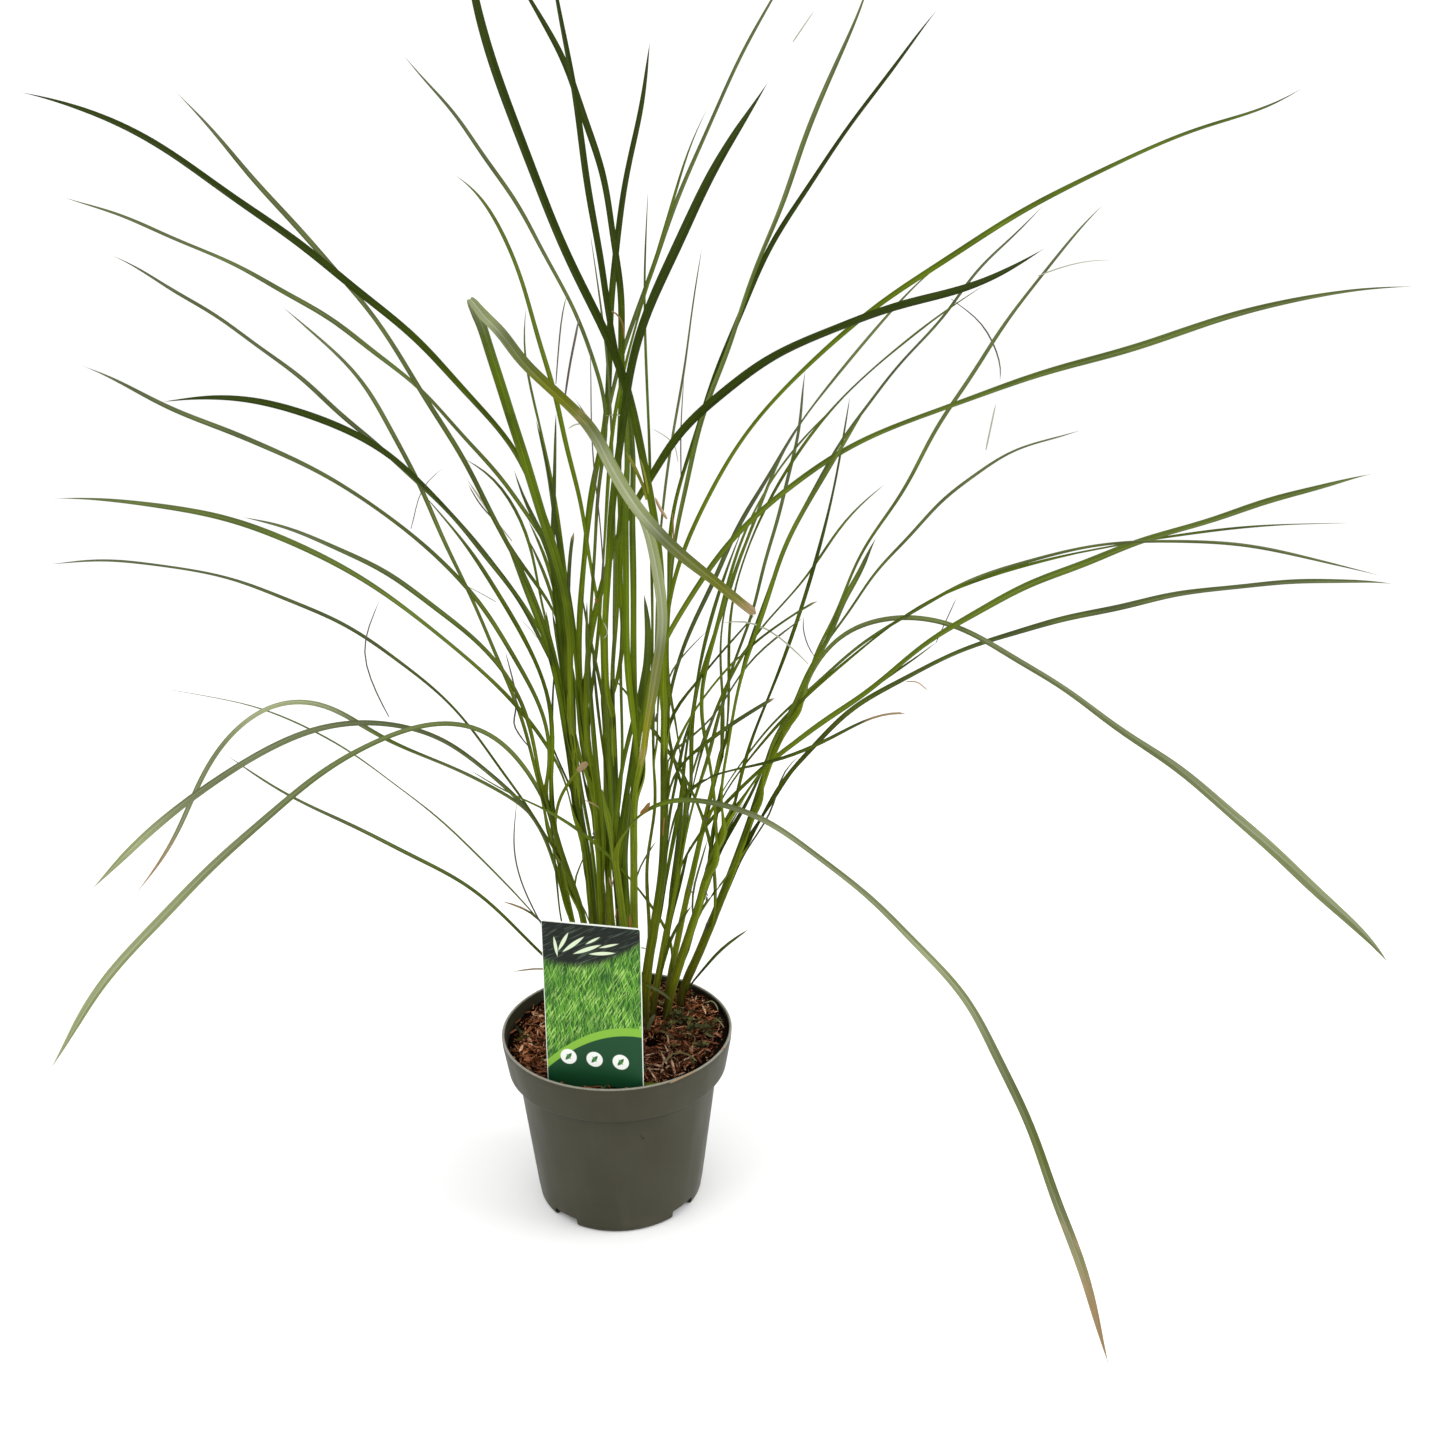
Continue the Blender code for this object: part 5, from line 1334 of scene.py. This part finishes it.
def barkSkin(name, ground):
    tints = barkTints
    material, tree, shader = newMaterial(name, 0.9, 0.03)
    world = placeOf(tree)
    grain = noiseOf(tree, world, 700, 4)
    blotch = noiseOf(tree, world, 160, 3)
    if ground:
        # The ground shows only in the gaps between the litter: its near-black colour is the mix's dark colour
        # deepened into painted shade for those gaps
        colour = blendColour(tree, fromTo(tree, blotch, 0.4, 0.7), *tints["ground"])
    else:
        tint = addNode(tree, "ShaderNodeAttribute", attribute_name="tint").outputs["Fac"]
        share = math2(tree, "ADD", tint, times(tree, math2(tree, "SUBTRACT", blotch, 0.5), 0.7))
        colour = layered(
            tree, tints["dark"], (fromTo(tree, share, 0.05, 0.45), tints["brown"]),
            (fromTo(tree, share, 0.40, 0.80), tints["russet"]),
            (fromTo(tree, share, 0.80, 1.05), tints["fresh"]),
        )
        # Painted light: the litter is lightened towards the back and left, to make up for the shade the pot
        # wall, stems and label cast there
        spot = axesOf(tree, world)
        back = math2(tree, "SUBTRACT", spot[1], times(tree, spot[0], 0.25))
        paintedBackLight = blendColour(tree, 1.0, colour, tints["paintedBackLight"], "MULTIPLY")
        colour = blendColour(tree, fromTo(tree, back, -0.035, -0.005), colour, paintedBackLight)
    colour = blendColour(tree, fromTo(tree, grain, 0.40, 0.62, 0.60, 0.0), colour, tints["pores"])
    finishMaterial(tree, shader, colour, grain, 0.0004)
    return material


def mixBall():
    s = mixShape
    inside = potShape["wall"] + s["clear"]
    topRadii = np.linspace(s["edge"], 0, s["rings"])
    outline = [
        (0, s["low"]), (wallRadius(s["low"]) - inside, s["low"]),
        (potShape["wallTopRadius"] - inside, potShape["collarFoot"] + inside),
        (potShape["collarFootRadius"] - inside - s["clear"], potShape["collarFoot"] + s["aboveStep"]),
        (s["edge"], s["top"] - s["shoulder"]), *((radius, s["top"]) for radius in topRadii),
    ]
    shape = bmesh.new()
    turnedMesh(shape, outline, s["steps"])
    for vert in shape.verts:
        depth = s["top"] - vert.co.z
        if depth < 1.5 * s["shoulder"]:
            vert.co.xy *= 1 + s["spread"] * (1 + vert.co.x / s["edge"])
            vert.co.z = mixHeight(vert.co.x, vert.co.y) - depth
    mesh = meshFrom(shape, "root_ball")
    mesh.shade_smooth()
    return newPiece("root_ball", mesh, barkSkin("mixGround", True))


litterRoom = {"stemHeight": 0.014, "hollow": 0.35, "stem": 0.3, "label": 0.8}  # shares of the margin
footSpots = [stemSpot(name, litterRoom["stemHeight"]) for name in stems]


def roomAt(x, y, margin):  # 0 near the wall, the stems and the label, else 1
    if math.hypot(x, y) > mixShape["edge"] - margin or inHollow(x, y) > litterRoom["hollow"]:
        return 0.0
    gap = min(math.hypot(x - spot[0], y - spot[1]) - radius for spot, radius in footSpots)
    if gap < litterRoom["stem"] * margin:
        return 0.0
    turn = math.radians(labelShape["turn"])
    dx, dy = x - labelShape["middle"][0], y - labelShape["middle"][1]
    along = dx * math.cos(turn) + dy * math.sin(turn)
    apart = abs(dy * math.cos(turn) - dx * math.sin(turn))
    atLabel = apart < litterRoom["label"] * margin and abs(along) < labelShape["width"] / 2 + margin
    return 0.0 if atLabel else 1.0


def litterTree():  # scatters the shapes of a collection over a surface, where its room attribute allows
    tree = bpy.data.node_groups.new("litterOnSurface", "GeometryNodeTree")
    tree.interface.new_socket("Geometry", in_out="OUTPUT", socket_type="NodeSocketGeometry")
    for name, kind in (
        ("Surface", "Geometry"), ("Shapes", "Collection"), ("Material", "Material"), ("Amount", "Float"),
        ("Smallest", "Float"), ("Largest", "Float"), ("Tilt", "Float"), ("Lift", "Float"), ("Seed", "Int"),
    ):
        tree.interface.new_socket(name, in_out="INPUT", socket_type="NodeSocket" + kind)
    given = addNode(tree, "NodeGroupInput").outputs

    def randomOf(kind, low, high, shift):
        seed = math2(tree, "ADD", given["Seed"], shift)
        slots = {"FLOAT_VECTOR": (0, 1, 0), "FLOAT": (2, 3, 1), "INT": (4, 5, 2)}[kind]
        limits = {slots[0]: low, slots[1]: high, "Seed": seed}
        return addNode(tree, "FunctionNodeRandomValue", limits, data_type=kind).outputs[slots[2]]

    room = addNode(tree, "GeometryNodeInputNamedAttribute", {"Name": "room"}, data_type="FLOAT")
    density = times(tree, room.outputs["Attribute"], given["Amount"])
    points = addNode(tree, "GeometryNodeDistributePointsOnFaces", {
        "Mesh": given["Surface"], "Density": density, "Seed": given["Seed"],
    })
    tilt, lean = given["Tilt"], times(tree, given["Tilt"], -1.0)
    least = addNode(tree, "ShaderNodeCombineXYZ", {0: lean, 1: lean, 2: 0.0}).outputs[0]
    most = addNode(tree, "ShaderNodeCombineXYZ", {0: tilt, 1: tilt, 2: 2 * math.pi}).outputs[0]
    euler = addNode(tree, "FunctionNodeEulerToRotation", {0: randomOf("FLOAT_VECTOR", least, most, 1)})
    rise = addNode(tree, "ShaderNodeCombineXYZ", {2: randomOf("FLOAT", 0.0, given["Lift"], 2)}).outputs[0]
    raised = addNode(tree, "GeometryNodeSetPosition", {"Geometry": points.outputs["Points"], "Offset": rise})
    shapes = addNode(tree, "GeometryNodeCollectionInfo", {
        "Collection": given["Shapes"], "Separate Children": True, "Reset Children": True,
    })
    placed = addNode(tree, "GeometryNodeInstanceOnPoints", {
        "Points": raised.outputs[0], "Instance": shapes.outputs[0], "Pick Instance": True,
        "Instance Index": randomOf("INT", 0, 60, 3), "Rotation": euler.outputs[0],
        "Scale": randomOf("FLOAT", given["Smallest"], given["Largest"], 4),
    })
    tinted = addNode(tree, "GeometryNodeStoreNamedAttribute", {
        "Geometry": placed.outputs[0], "Name": "tint", "Value": randomOf("FLOAT", 0.0, 1.0, 5),
    }, data_type="FLOAT", domain="INSTANCE")
    plain = addNode(tree, "GeometryNodeRealizeInstances", {"Geometry": tinted.outputs[0]})
    coloured = addNode(tree, "GeometryNodeSetMaterial", {
        "Geometry": plain.outputs[0], "Material": given["Material"],
    })
    addNode(tree, "NodeGroupOutput", {0: coloured.outputs[0]})
    return tree


litter = litterTree()


def lumpShape(name, seed, size, count):  # an irregular splinter, from the hull of random points
    draw = random.Random(f"{name} {seed}")
    shape = bmesh.new()
    for _ in range(count):
        spot = Vector([draw.uniform(-1, 1) for _ in range(3)])
        spot.y *= 1 - 0.5 * abs(spot.x)
        shape.verts.new([spot[axis] * size[axis] / 2 for axis in range(3)])
    made = bmesh.ops.convex_hull(shape, input=shape.verts)
    bmesh.ops.delete(shape, geom=made["geom_interior"], context="VERTS")
    mesh = meshFrom(shape, f"{name}{seed}")
    mesh.shade_smooth()
    mesh.set_sharp_from_angle(angle=math.radians(50))
    return bpy.data.objects.new(mesh.name, mesh)


def fibreShape(name, seed, length, radius):
    draw = random.Random(f"{name} {seed}")
    steps, bow, wave = 7, draw.uniform(-0.5, 0.5), draw.uniform(0, 6)
    store = newStore()
    share = np.linspace(-0.5, 0.5, steps)
    spots = np.stack([
        share * length, bow * length * share**2 + 0.05 * length * np.sin(9 * share + wave),
        0.05 * length * np.cos(7 * share + wave) - 0.02 * length,
    ], axis=1)
    addTube(store, spots, radius * (1 - 1.2 * share**2), np.zeros((steps, 4)), 4, 0.0)
    mesh = storedMesh(store, f"{name}{seed}")
    mesh.shade_smooth()
    return bpy.data.objects.new(mesh.name, mesh)


tuft = {
    "leaflets": 6, "sway": 0.4, "length": (0.6, 1.0), "width": 0.16, "rise": (0.3, 1.2), "halfThick": 0.00012,
}


def tuftShape(name, seed, size):  # a rosette of small pointed leaflets
    draw = random.Random(f"{name} {seed}")
    shape = bmesh.new()
    lift = Vector((0, 0, tuft["halfThick"]))
    for turn in range(tuft["leaflets"]):
        angle = turn + draw.uniform(-tuft["sway"], tuft["sway"])
        length, width = size * draw.uniform(*tuft["length"]), size * tuft["width"]
        away = Vector((math.cos(angle), math.sin(angle), draw.uniform(*tuft["rise"]))).normalized()
        side = away.cross(Vector((0, 0, 1))).normalized() * width
        middle = away * length * 0.5
        spots = [Vector(), middle + side, away * length, middle - side]
        top = [shape.verts.new(spot + lift) for spot in spots]
        low = [shape.verts.new(spot - lift) for spot in spots]
        shape.faces.new(top)
        shape.faces.new(low[::-1])
        for i in range(4):
            j = (i + 1) % 4
            shape.faces.new((top[j], top[i], low[i], low[j]))
    return bpy.data.objects.new(f"{name}{seed}", meshFrom(shape, f"{name}{seed}"))


def scatter(name, shapes, material, slotName, margin, mask=None, **inputs):
    shape = bmesh.new()
    radii = np.linspace(mixShape["edge"], 0, mixShape["litterRings"])
    turnedMesh(shape, [(radius, mixShape["top"]) for radius in radii], mixShape["litterSteps"])
    for vert in shape.verts:
        vert.co.z = mixHeight(vert.co.x, vert.co.y)
    mesh = bpy.data.meshes.new(name)
    shape.to_mesh(mesh)
    shape.free()
    room = mesh.attributes.new("room", "FLOAT", "POINT")
    for index, vert in enumerate(mesh.vertices):
        free = roomAt(vert.co.x, vert.co.y, margin)
        room.data[index].value = free * (mask(vert.co) if mask else 1.0)
    collection = bpy.data.collections.new(name + "Shapes")
    for made in shapes:
        collection.objects.link(made)
    piece = newPiece(name, mesh)
    modifier = piece.modifiers.new("litter", "NODES")
    modifier.node_group = litter
    sockets = {item.name: item.identifier for item in litter.interface.items_tree if item.in_out == "INPUT"}
    for label, value in {"Shapes": collection, "Material": material, **inputs}.items():
        modifier[sockets[label]] = value
    bakeModifier(piece, modifier)
    piece.data.name = name
    for used in shapes:
        bpy.data.objects.remove(used)
    bpy.data.collections.remove(collection)
    print(name, len(piece.data.polygons), "faces")
    return keep(piece, slotName)


mossShape = {
    "tints": ((0.010, 0.014, 0.003), (0.115, 0.125, 0.034)), "least": 0.04, "rise": 2, "crowds": 0.75,
}


def mossSkin():
    material, tree, shader = newMaterial("moss", 0.8, 0.2)
    tint = addNode(tree, "ShaderNodeAttribute", attribute_name="tint").outputs["Fac"]
    finishMaterial(tree, shader, blendColour(tree, tint, *mossShape["tints"]))
    return material


mossPatches = [(onMix(pixel), size) for pixel, size in (
    ((683, 1026), 0.010), ((688, 1036), 0.008), ((704, 996), 0.011), ((712, 990), 0.008),
    ((524, 1038), 0.008), ((700, 1046), 0.006), ((722, 1022), 0.006), ((672, 1050), 0.005),
    ((610, 990), 0.012), ((655, 985), 0.010), ((676, 1018), 0.009), ((698, 1030), 0.011),
    ((713, 1028), 0.008), ((667, 1030), 0.007),
)]


def mossy(spot):
    near = max(1 - math.hypot(spot.x - middle.x, spot.y - middle.y) / size for middle, size in mossPatches)
    return min(1.0, max(mossShape["least"], mossShape["rise"] * near))


def mossFree(spot):
    return 1 - mossShape["crowds"] * mossy(spot)


keep(mixBall(), "mix_bark", "potting_mix")
bark = barkSkin("barkLitter", False)
shreds = [
    lumpShape("shred", k, (0.0075 + 0.0009 * k, 0.0014 + 0.0002 * (k % 5), 0.0009), 16) for k in range(10)
]
flakes = [
    lumpShape("flake", k, (0.0125 + 0.0012 * (k % 3), 0.0042 + 0.0006 * (k % 4), 0.0014), 18)
    for k in range(7)
]
fibres = [fibreShape("fibre", k, 0.009 + 0.0014 * k, 0.00022) for k in range(8)]
crumbs = [lumpShape("crumb", k, (0.0026, 0.0021, 0.0017), 9) for k in range(6)]
tufts = [tuftShape("tuft", k, 0.0042) for k in range(6)]
scatter("mix_crumbs", crumbs, bark, "mix_bark", 0.002, Amount=90000.0, Smallest=0.5, Largest=1.5,
        Tilt=1.5, Lift=0.0012, Seed=4)
scatter("bark_shreds", shreds, bark, "mix_bark", 0.006, mossFree, Amount=130000.0, Smallest=0.6, Largest=1.3,
        Tilt=0.30, Lift=0.0030, Seed=7)
scatter("bark_flakes", flakes, bark, "mix_bark", 0.008, mossFree, Amount=16000.0, Smallest=0.6, Largest=1.15,
        Tilt=0.32, Lift=0.0032, Seed=11)
scatter("coir_fibres", fibres, bark, "mix_bark", 0.007, Amount=42000.0, Smallest=0.6, Largest=1.3,
        Tilt=0.35, Lift=0.0045, Seed=2)
scatter("moss_bits", tufts, mossSkin(), "leaf_green", 0.003, mossy, Amount=90000.0, Smallest=0.5,
        Largest=1.25, Tilt=0.7, Lift=0.0036, Seed=5)

# Larger chips on top: pixels of both ends, width in pixels and tint
chips = (
    (521.6, 1037.1, 532.9, 1026.9, 3, 0.75), (519.6, 1051.4, 523.7, 1043.3, 4, 1.0),
    (514.5, 1043.3, 520, 1051, 2.5, 0.7), (529.8, 1045.3, 543, 1048.4, 3, 0.8),
    (527.8, 1061.6, 538, 1053.5, 3, 0.75), (537, 1057.5, 544, 1055.5, 2.5, 0.8),
    (536, 1076, 544, 1069.8, 4, 0.6), (510.4, 1033, 516.5, 1029, 3, 0.7),
    (515.5, 1022.9, 520.6, 1018.8, 3, 0.55), (524, 1013, 531, 1011, 3, 0.7),
    (534, 1004.5, 533, 1010.6, 2, 0.8), (535, 1013.7, 543, 1020.8, 3, 0.65),
    (532.9, 1022.9, 541, 1018.8, 3, 0.75), (539, 1029, 543, 1037, 3, 0.7),
    (660.2, 1050.4, 666.3, 1063.7, 3, 1.05), (671.4, 1060.6, 674.5, 1073.9, 4, 0.9),
    (655, 1046.3, 663.3, 1049.4, 3, 0.8), (641.8, 1062.7, 663.3, 1066.7, 2, 1.0),
    (649, 1068.8, 656, 1080, 2.5, 0.95), (642.9, 1071.8, 648, 1079, 3, 0.8),
    (678.6, 1069.8, 682.7, 1065.7, 3, 0.2), (684.7, 1067.8, 691.8, 1061.6, 3, 0.75),
    (683.7, 1041, 689.8, 1047, 3, 0.8), (691.8, 1042, 698, 1045, 3, 0.7), (698, 1053.5, 706, 1047, 3, 0.8),
    (704, 1049.4, 711.2, 1051.4, 3, 0.85), (691.8, 1008.6, 698, 1004.5, 3, 0.75),
    (702, 1003.5, 706, 1013.7, 2.5, 1.05), (707, 1004.5, 711.2, 1009.6, 2.5, 0.8),
    (710, 1013.7, 715, 1009.6, 2.5, 0.75), (691.8, 1017.8, 695.9, 1013.7, 2.5, 0.7),
    (708, 1020.8, 714.3, 1016.7, 2.5, 0.8), (721.4, 1049.4, 725.5, 1046.8, 2, 1.0),
    (687.8, 1003.5, 691.8, 1010.6, 2.5, 0.7), (674.5, 996, 678.6, 1000.4, 2.5, 0.7),
    (671.4, 1007.6, 677.6, 1005.5, 2.5, 0.8), (715, 1033, 721, 1037, 2.5, 0.85),
    (697, 1023.9, 703, 1020.8, 2.5, 0.75), (669.4, 1045.3, 675.5, 1041.2, 2.5, 0.75),
    (677.6, 1051.4, 684.7, 1054.5, 3, 0.8), (688.8, 1050.4, 694.9, 1055.5, 3, 0.7),
)
chipShape = {"pixelSize": 0.00075, "corners": 16, "thickness": 0.45, "reach": 0.58, "lift": (0.0030, 0.0046)}


def placedChips():
    shape = bmesh.new()
    tintLayer = shape.verts.layers.float.new("tint")
    draw = random.Random("chips")
    for x0, y0, x1, y1, width, tint in chips:
        start, end = (onMix(pixel, draw.uniform(*chipShape["lift"])) for pixel in ((x0, y0), (x1, y1)))
        size = width * chipShape["pixelSize"]
        turn = (end - start).to_track_quat("X", "Z").to_matrix()
        corners = []
        for _ in range(chipShape["corners"]):
            spot = Vector([draw.uniform(-1, 1) for _ in range(3)])
            spot.y *= 1 - 0.4 * abs(spot.x)
            spot *= Vector(((end - start).length, size, size * chipShape["thickness"])) * chipShape["reach"]
            corners.append(shape.verts.new((start + end) / 2 + turn @ spot))
            corners[-1][tintLayer] = tint
        made = bmesh.ops.convex_hull(shape, input=corners)
        bmesh.ops.delete(shape, geom=made["geom_interior"], context="VERTS")
    mesh = meshFrom(shape, "bark_chips")
    mesh.set_sharp_from_angle(angle=math.radians(40))
    return newPiece("bark_chips", mesh, bark)


keep(placedChips(), "mix_bark")

# Leaf bits on the mix: tone, width in mm, pixels, and how high both ends lie above it
fallen = (
    ("greenCut", 2.4, ((641, 1084), (656, 1084.6), (666, 1084), (672, 1083)), (0.0030, 0.0030)),
    ("straw", 1.3, ((666, 1061), (670, 1056), (673.5, 1053)), (0.0045, 0.0050)),
    ("straw", 1.3, ((672, 1054.5), (681.6, 1053), (689.8, 1056), (697, 1061.6)), (0.0050, 0.0045)),
    ("straw", 1.6, ((705, 1033), (709, 1035), (713, 1037)), (0.0045, 0.0045)),
    ("straw", 0.9, ((715, 1018), (720, 1022), (724, 1028)), (0.0040, 0.0040)),
    ("straw", 0.9, ((705, 1003), (711, 1001), (716, 1005), (718, 1011)), (0.0050, 0.0045)),
    ("pale", 2.6, ((648, 1030), (651, 1022), (655, 1014)), (0.0060, 0.0160)),
    ("grey", 1.9, ((646, 985), (656, 989), (664, 994), (671, 1000)), (0.0400, 0.0280)),
    ("grey", 0.9, ((671, 999), (668, 1010), (664, 1022), (660, 1031)), (0.0280, 0.0030)),
    ("pale", 1.6, ((660, 1030), (663, 1032), (666, 1033)), (0.0040, 0.0040)),
    ("pale", 1.6, ((666, 1032), (670, 1036), (674.5, 1039)), (0.0040, 0.0040)),
    ("green", 1.6, ((517, 1040), (524, 1036), (531, 1037)), (0.0040, 0.0040)),
    # The last bit, a pale dry sliver along the pot's rim, also stands in for a highlight on the rim: partly
    # painted highlight
    ("dry", 0.8, ((670, 1083), (684, 1076.5), (698, 1070)), (0.0058, 0.0050)),
)


def fallenBits():
    store = newStore()
    for tone, width, pixels, lifts in fallen:
        rise = np.linspace(*lifts, len(pixels))
        rows = np.array([onMix(pixel, z) for pixel, z in zip(pixels, rise)])
        hang(store, tone, rows, width)
    return storedPiece(store, "fallen_leaf_bits", bladeSkin)


keep(fallenBits(), "leaf_green")
print("made the mix")


# Label: a printed card on a pointed tail, with a print of its own

labelTints = {
    "field": ((0.012, 0.065, 0.006), (0.085, 0.27, 0.018)), "blades": (0.17, 0.42, 0.045),
    "litBlades": (0.34, 0.56, 0.13), "darkBlades": (0.02, 0.10, 0.010), "shade": (0.010, 0.075, 0.010),
    "night": ((0.006, 0.010, 0.007), (0.05, 0.075, 0.05)), "leaf": (0.62, 0.72, 0.50),
    "edge": (0.20, 0.42, 0.04), "foot": (0.006, 0.055, 0.018), "disc": (0.80, 0.82, 0.77),
    "sign": ((0.03, 0.13, 0.03), (0.06, 0.22, 0.04)), "rim": (0.72, 0.76, 0.70),
    "backing": (0.74, 0.77, 0.70, 1),
}
labelLeaves = (  # on the card, in widths of it: middle, slant, length and width
    ((-0.28, 1.62), 62, 0.13, 0.022), ((-0.18, 1.60), 40, 0.16, 0.024), ((-0.04, 1.56), 24, 0.17, 0.024),
    ((0.11, 1.53), 8, 0.15, 0.022), ((-0.36, 1.56), 98, 0.12, 0.020), ((0.02, 1.66), 32, 0.10, 0.016),
    ((0.18, 1.62), 18, 0.12, 0.016),
)
labelSigns = {"across": (-0.27, 0.0, 0.27), "rise": 0.345, "radius": 0.088}


def labelPrint():
    tints = labelTints
    material, tree, shader = newMaterial("labelPrint", 0.5, 0.2)
    place = addNode(tree, "ShaderNodeUVMap", uv_map="labelMap").outputs[0]
    across, rise = axesOf(tree, place)[:2]

    def turned(vector, angle):
        inputs = {"Vector": vector, "Angle": math.radians(angle)}
        return addNode(tree, "ShaderNodeVectorRotate", inputs, rotation_type="Z_AXIS").outputs[0]

    def strokes(turn, scale, thin, low, high):  # long thin strokes at one slant
        return fromTo(tree, noiseOf(tree, turned(place, turn), scale, 2.5, (thin, 1, 1), 0.25), low, high)

    def lens(middle, turn, length, width):  # a pointed leaf shape
        moved = addNode(tree, "ShaderNodeVectorMath", {0: place, 1: (*middle, 0)}, operation="SUBTRACT")
        parts = axesOf(tree, turned(moved.outputs[0], -turn))
        share = math2(tree, "POWER", math2(tree, "DIVIDE", parts[0], length), 2.0)
        limit = times(tree, math2(tree, "SUBTRACT", 1.0, share), width)
        return fromTo(tree, math2(tree, "SUBTRACT", limit, math2(tree, "ABSOLUTE", parts[1])), 0.0, 0.008)

    def disc(middle, radius):
        apart = addNode(tree, "ShaderNodeVectorMath", {0: place, 1: (*middle, 0)}, operation="DISTANCE")
        return fromTo(tree, apart.outputs["Value"], radius, radius - 0.008)

    def bowOf(offset):  # how far a bowed edge has risen, this far from its middle
        return times(tree, math2(tree, "POWER", math2(tree, "ADD", across, offset), 2.0), 0.55)

    field = layered(
        tree, blendColour(tree, strokes(16, 4.5, 13, 0.40, 0.58), *tints["field"]),
        (strokes(-14, 5.0, 14, 0.50, 0.62), tints["blades"]),
        (strokes(30, 5.0, 16, 0.53, 0.63), tints["litBlades"]),
        (strokes(-2, 6.0, 15, 0.54, 0.64), tints["darkBlades"]),
        (fromTo(tree, noiseOf(tree, place, 2.2, 2), 0.40, 0.68, 0.0, 0.6), tints["shade"]),
    )
    night = blendColour(tree, strokes(60, 5.0, 12, 0.52, 0.68), *tints["night"])
    bandEdge = math2(tree, "SUBTRACT", rise, bowOf(0.25))
    hill = math2(tree, "ADD", rise, bowOf(-0.42))
    colour = layered(
        tree, field, (fromTo(tree, bandEdge, 1.30, 1.42), night),
        *((lens(*leaf), tints["leaf"]) for leaf in labelLeaves),
        (fromTo(tree, hill, 0.745, 0.735), tints["edge"]), (fromTo(tree, hill, 0.655, 0.645), tints["foot"]),
    )
    for x in labelSigns["across"]:
        middle = (x, labelSigns["rise"])
        colour = layered(
            tree, colour, (disc(middle, labelSigns["radius"]), tints["disc"]),
            (lens(middle, 52, 0.060, 0.024), tints["sign"][0]),
            (lens(middle, 128, 0.045, 0.013), tints["sign"][1]),
        )
    sideways = math2(tree, "ABSOLUTE", across)
    rim = math2(tree, "MAXIMUM", fromTo(tree, sideways, 0.491, 0.495), fromTo(tree, rise, 1.820, 1.824))
    finishMaterial(tree, shader, blendColour(tree, rim, colour, tints["rim"]))
    return material


def label():
    s = labelShape
    half, corner = s["width"] / 2, s["corner"]
    outline = [
        *arc((half - corner, s["top"] - corner), corner, 0, 90, 7),
        *arc((corner - half, s["top"] - corner), corner, 90, 180, 7),
        (-half, s["foot"]), (-s["tailTop"] / 2, s["foot"]),
        (-s["tailTip"] / 2, s["foot"] - s["tailLength"]), (s["tailTip"] / 2, s["foot"] - s["tailLength"]),
        (s["tailTop"] / 2, s["foot"]), (half, s["foot"]),
    ]
    shape = bmesh.new()
    front = shape.faces.new([shape.verts.new((x, -s["thick"] / 2, z)) for x, z in outline])
    moved = bmesh.ops.extrude_face_region(shape, geom=[front], use_keep_orig=True)["geom"]
    behind = [v for v in moved if isinstance(v, bmesh.types.BMVert)]
    bmesh.ops.translate(shape, verts=behind, vec=(0, s["thick"], 0))
    edges = [e for e in shape.edges if abs(e.verts[0].co.y - e.verts[1].co.y) < 1e-6]
    bmesh.ops.bevel(shape, geom=edges, offset=s["bevel"], segments=2, profile=0.5, affect="EDGES")
    bmesh.ops.recalc_face_normals(shape, faces=shape.faces)
    layer = shape.loops.layers.uv.new("labelMap")
    for face in shape.faces:
        face.material_index = 0 if face.normal.y < -0.99 else 1
        for loop in face.loops:
            spot = loop.vert.co
            loop[layer].uv = (spot.x / s["width"], (spot.z - s["foot"]) / s["width"])
    bmesh.ops.triangulate(shape, faces=[f for f in shape.faces if len(f.verts) > 4])
    mesh = bpy.data.meshes.new("label_card")
    shape.transform(Matrix.Translation((*s["middle"], 0)) @ Matrix.Rotation(math.radians(s["turn"]), 4, "Z"))
    shape.to_mesh(mesh)
    shape.free()
    backing, _, shader = newMaterial("labelBacking", 0.5, 0.4)
    shader.inputs["Base Color"].default_value = labelTints["backing"]
    return newPiece("label_card", mesh, labelPrint(), backing)


keep(label(), "label_plastic", "plant_label")
print("made the label")


# Stage: a pale floor in soft, even light

stageShape = {
    "floorHalf": 15, "floor": (0.93, 0.93, 0.93, 1), "sky": 1.08, "lampsAim": (0, 0, 0.35),
    "lamps": (((-1.3, -0.9, 1.8), 1.4, 14), ((1.6, -0.2, 1.1), 1.2, 16)),  # place, size and watts
}


def stage():
    s = stageShape
    shape = bmesh.new()
    bmesh.ops.create_grid(shape, x_segments=1, y_segments=1, size=s["floorHalf"])
    material, _, shader = newMaterial("floor", 0.9, 0.0)
    shader.inputs["Base Color"].default_value = s["floor"]
    newPiece("floor", meshFrom(shape, "floor"), material)
    world = bpy.data.worlds.new("studio")
    world.use_nodes = True
    sky = world.node_tree.nodes["Background"].inputs
    sky["Color"].default_value = (1, 1, 1, 1)
    sky["Strength"].default_value = s["sky"]
    bpy.context.scene.world = world
    for spot, size, power in s["lamps"]:
        light = bpy.data.lights.new("softbox", "AREA")
        light.shape, light.size, light.energy = "SQUARE", size, power
        lamp = bpy.data.objects.new("softbox", light)
        lamp.location = spot
        lamp.rotation_euler = (Vector(s["lampsAim"]) - lamp.location).to_track_quat("-Z", "Y").to_euler()
        bpy.context.scene.collection.objects.link(lamp)
    bpy.context.scene.view_settings.view_transform = "Standard"


stage()
print("made the stage")
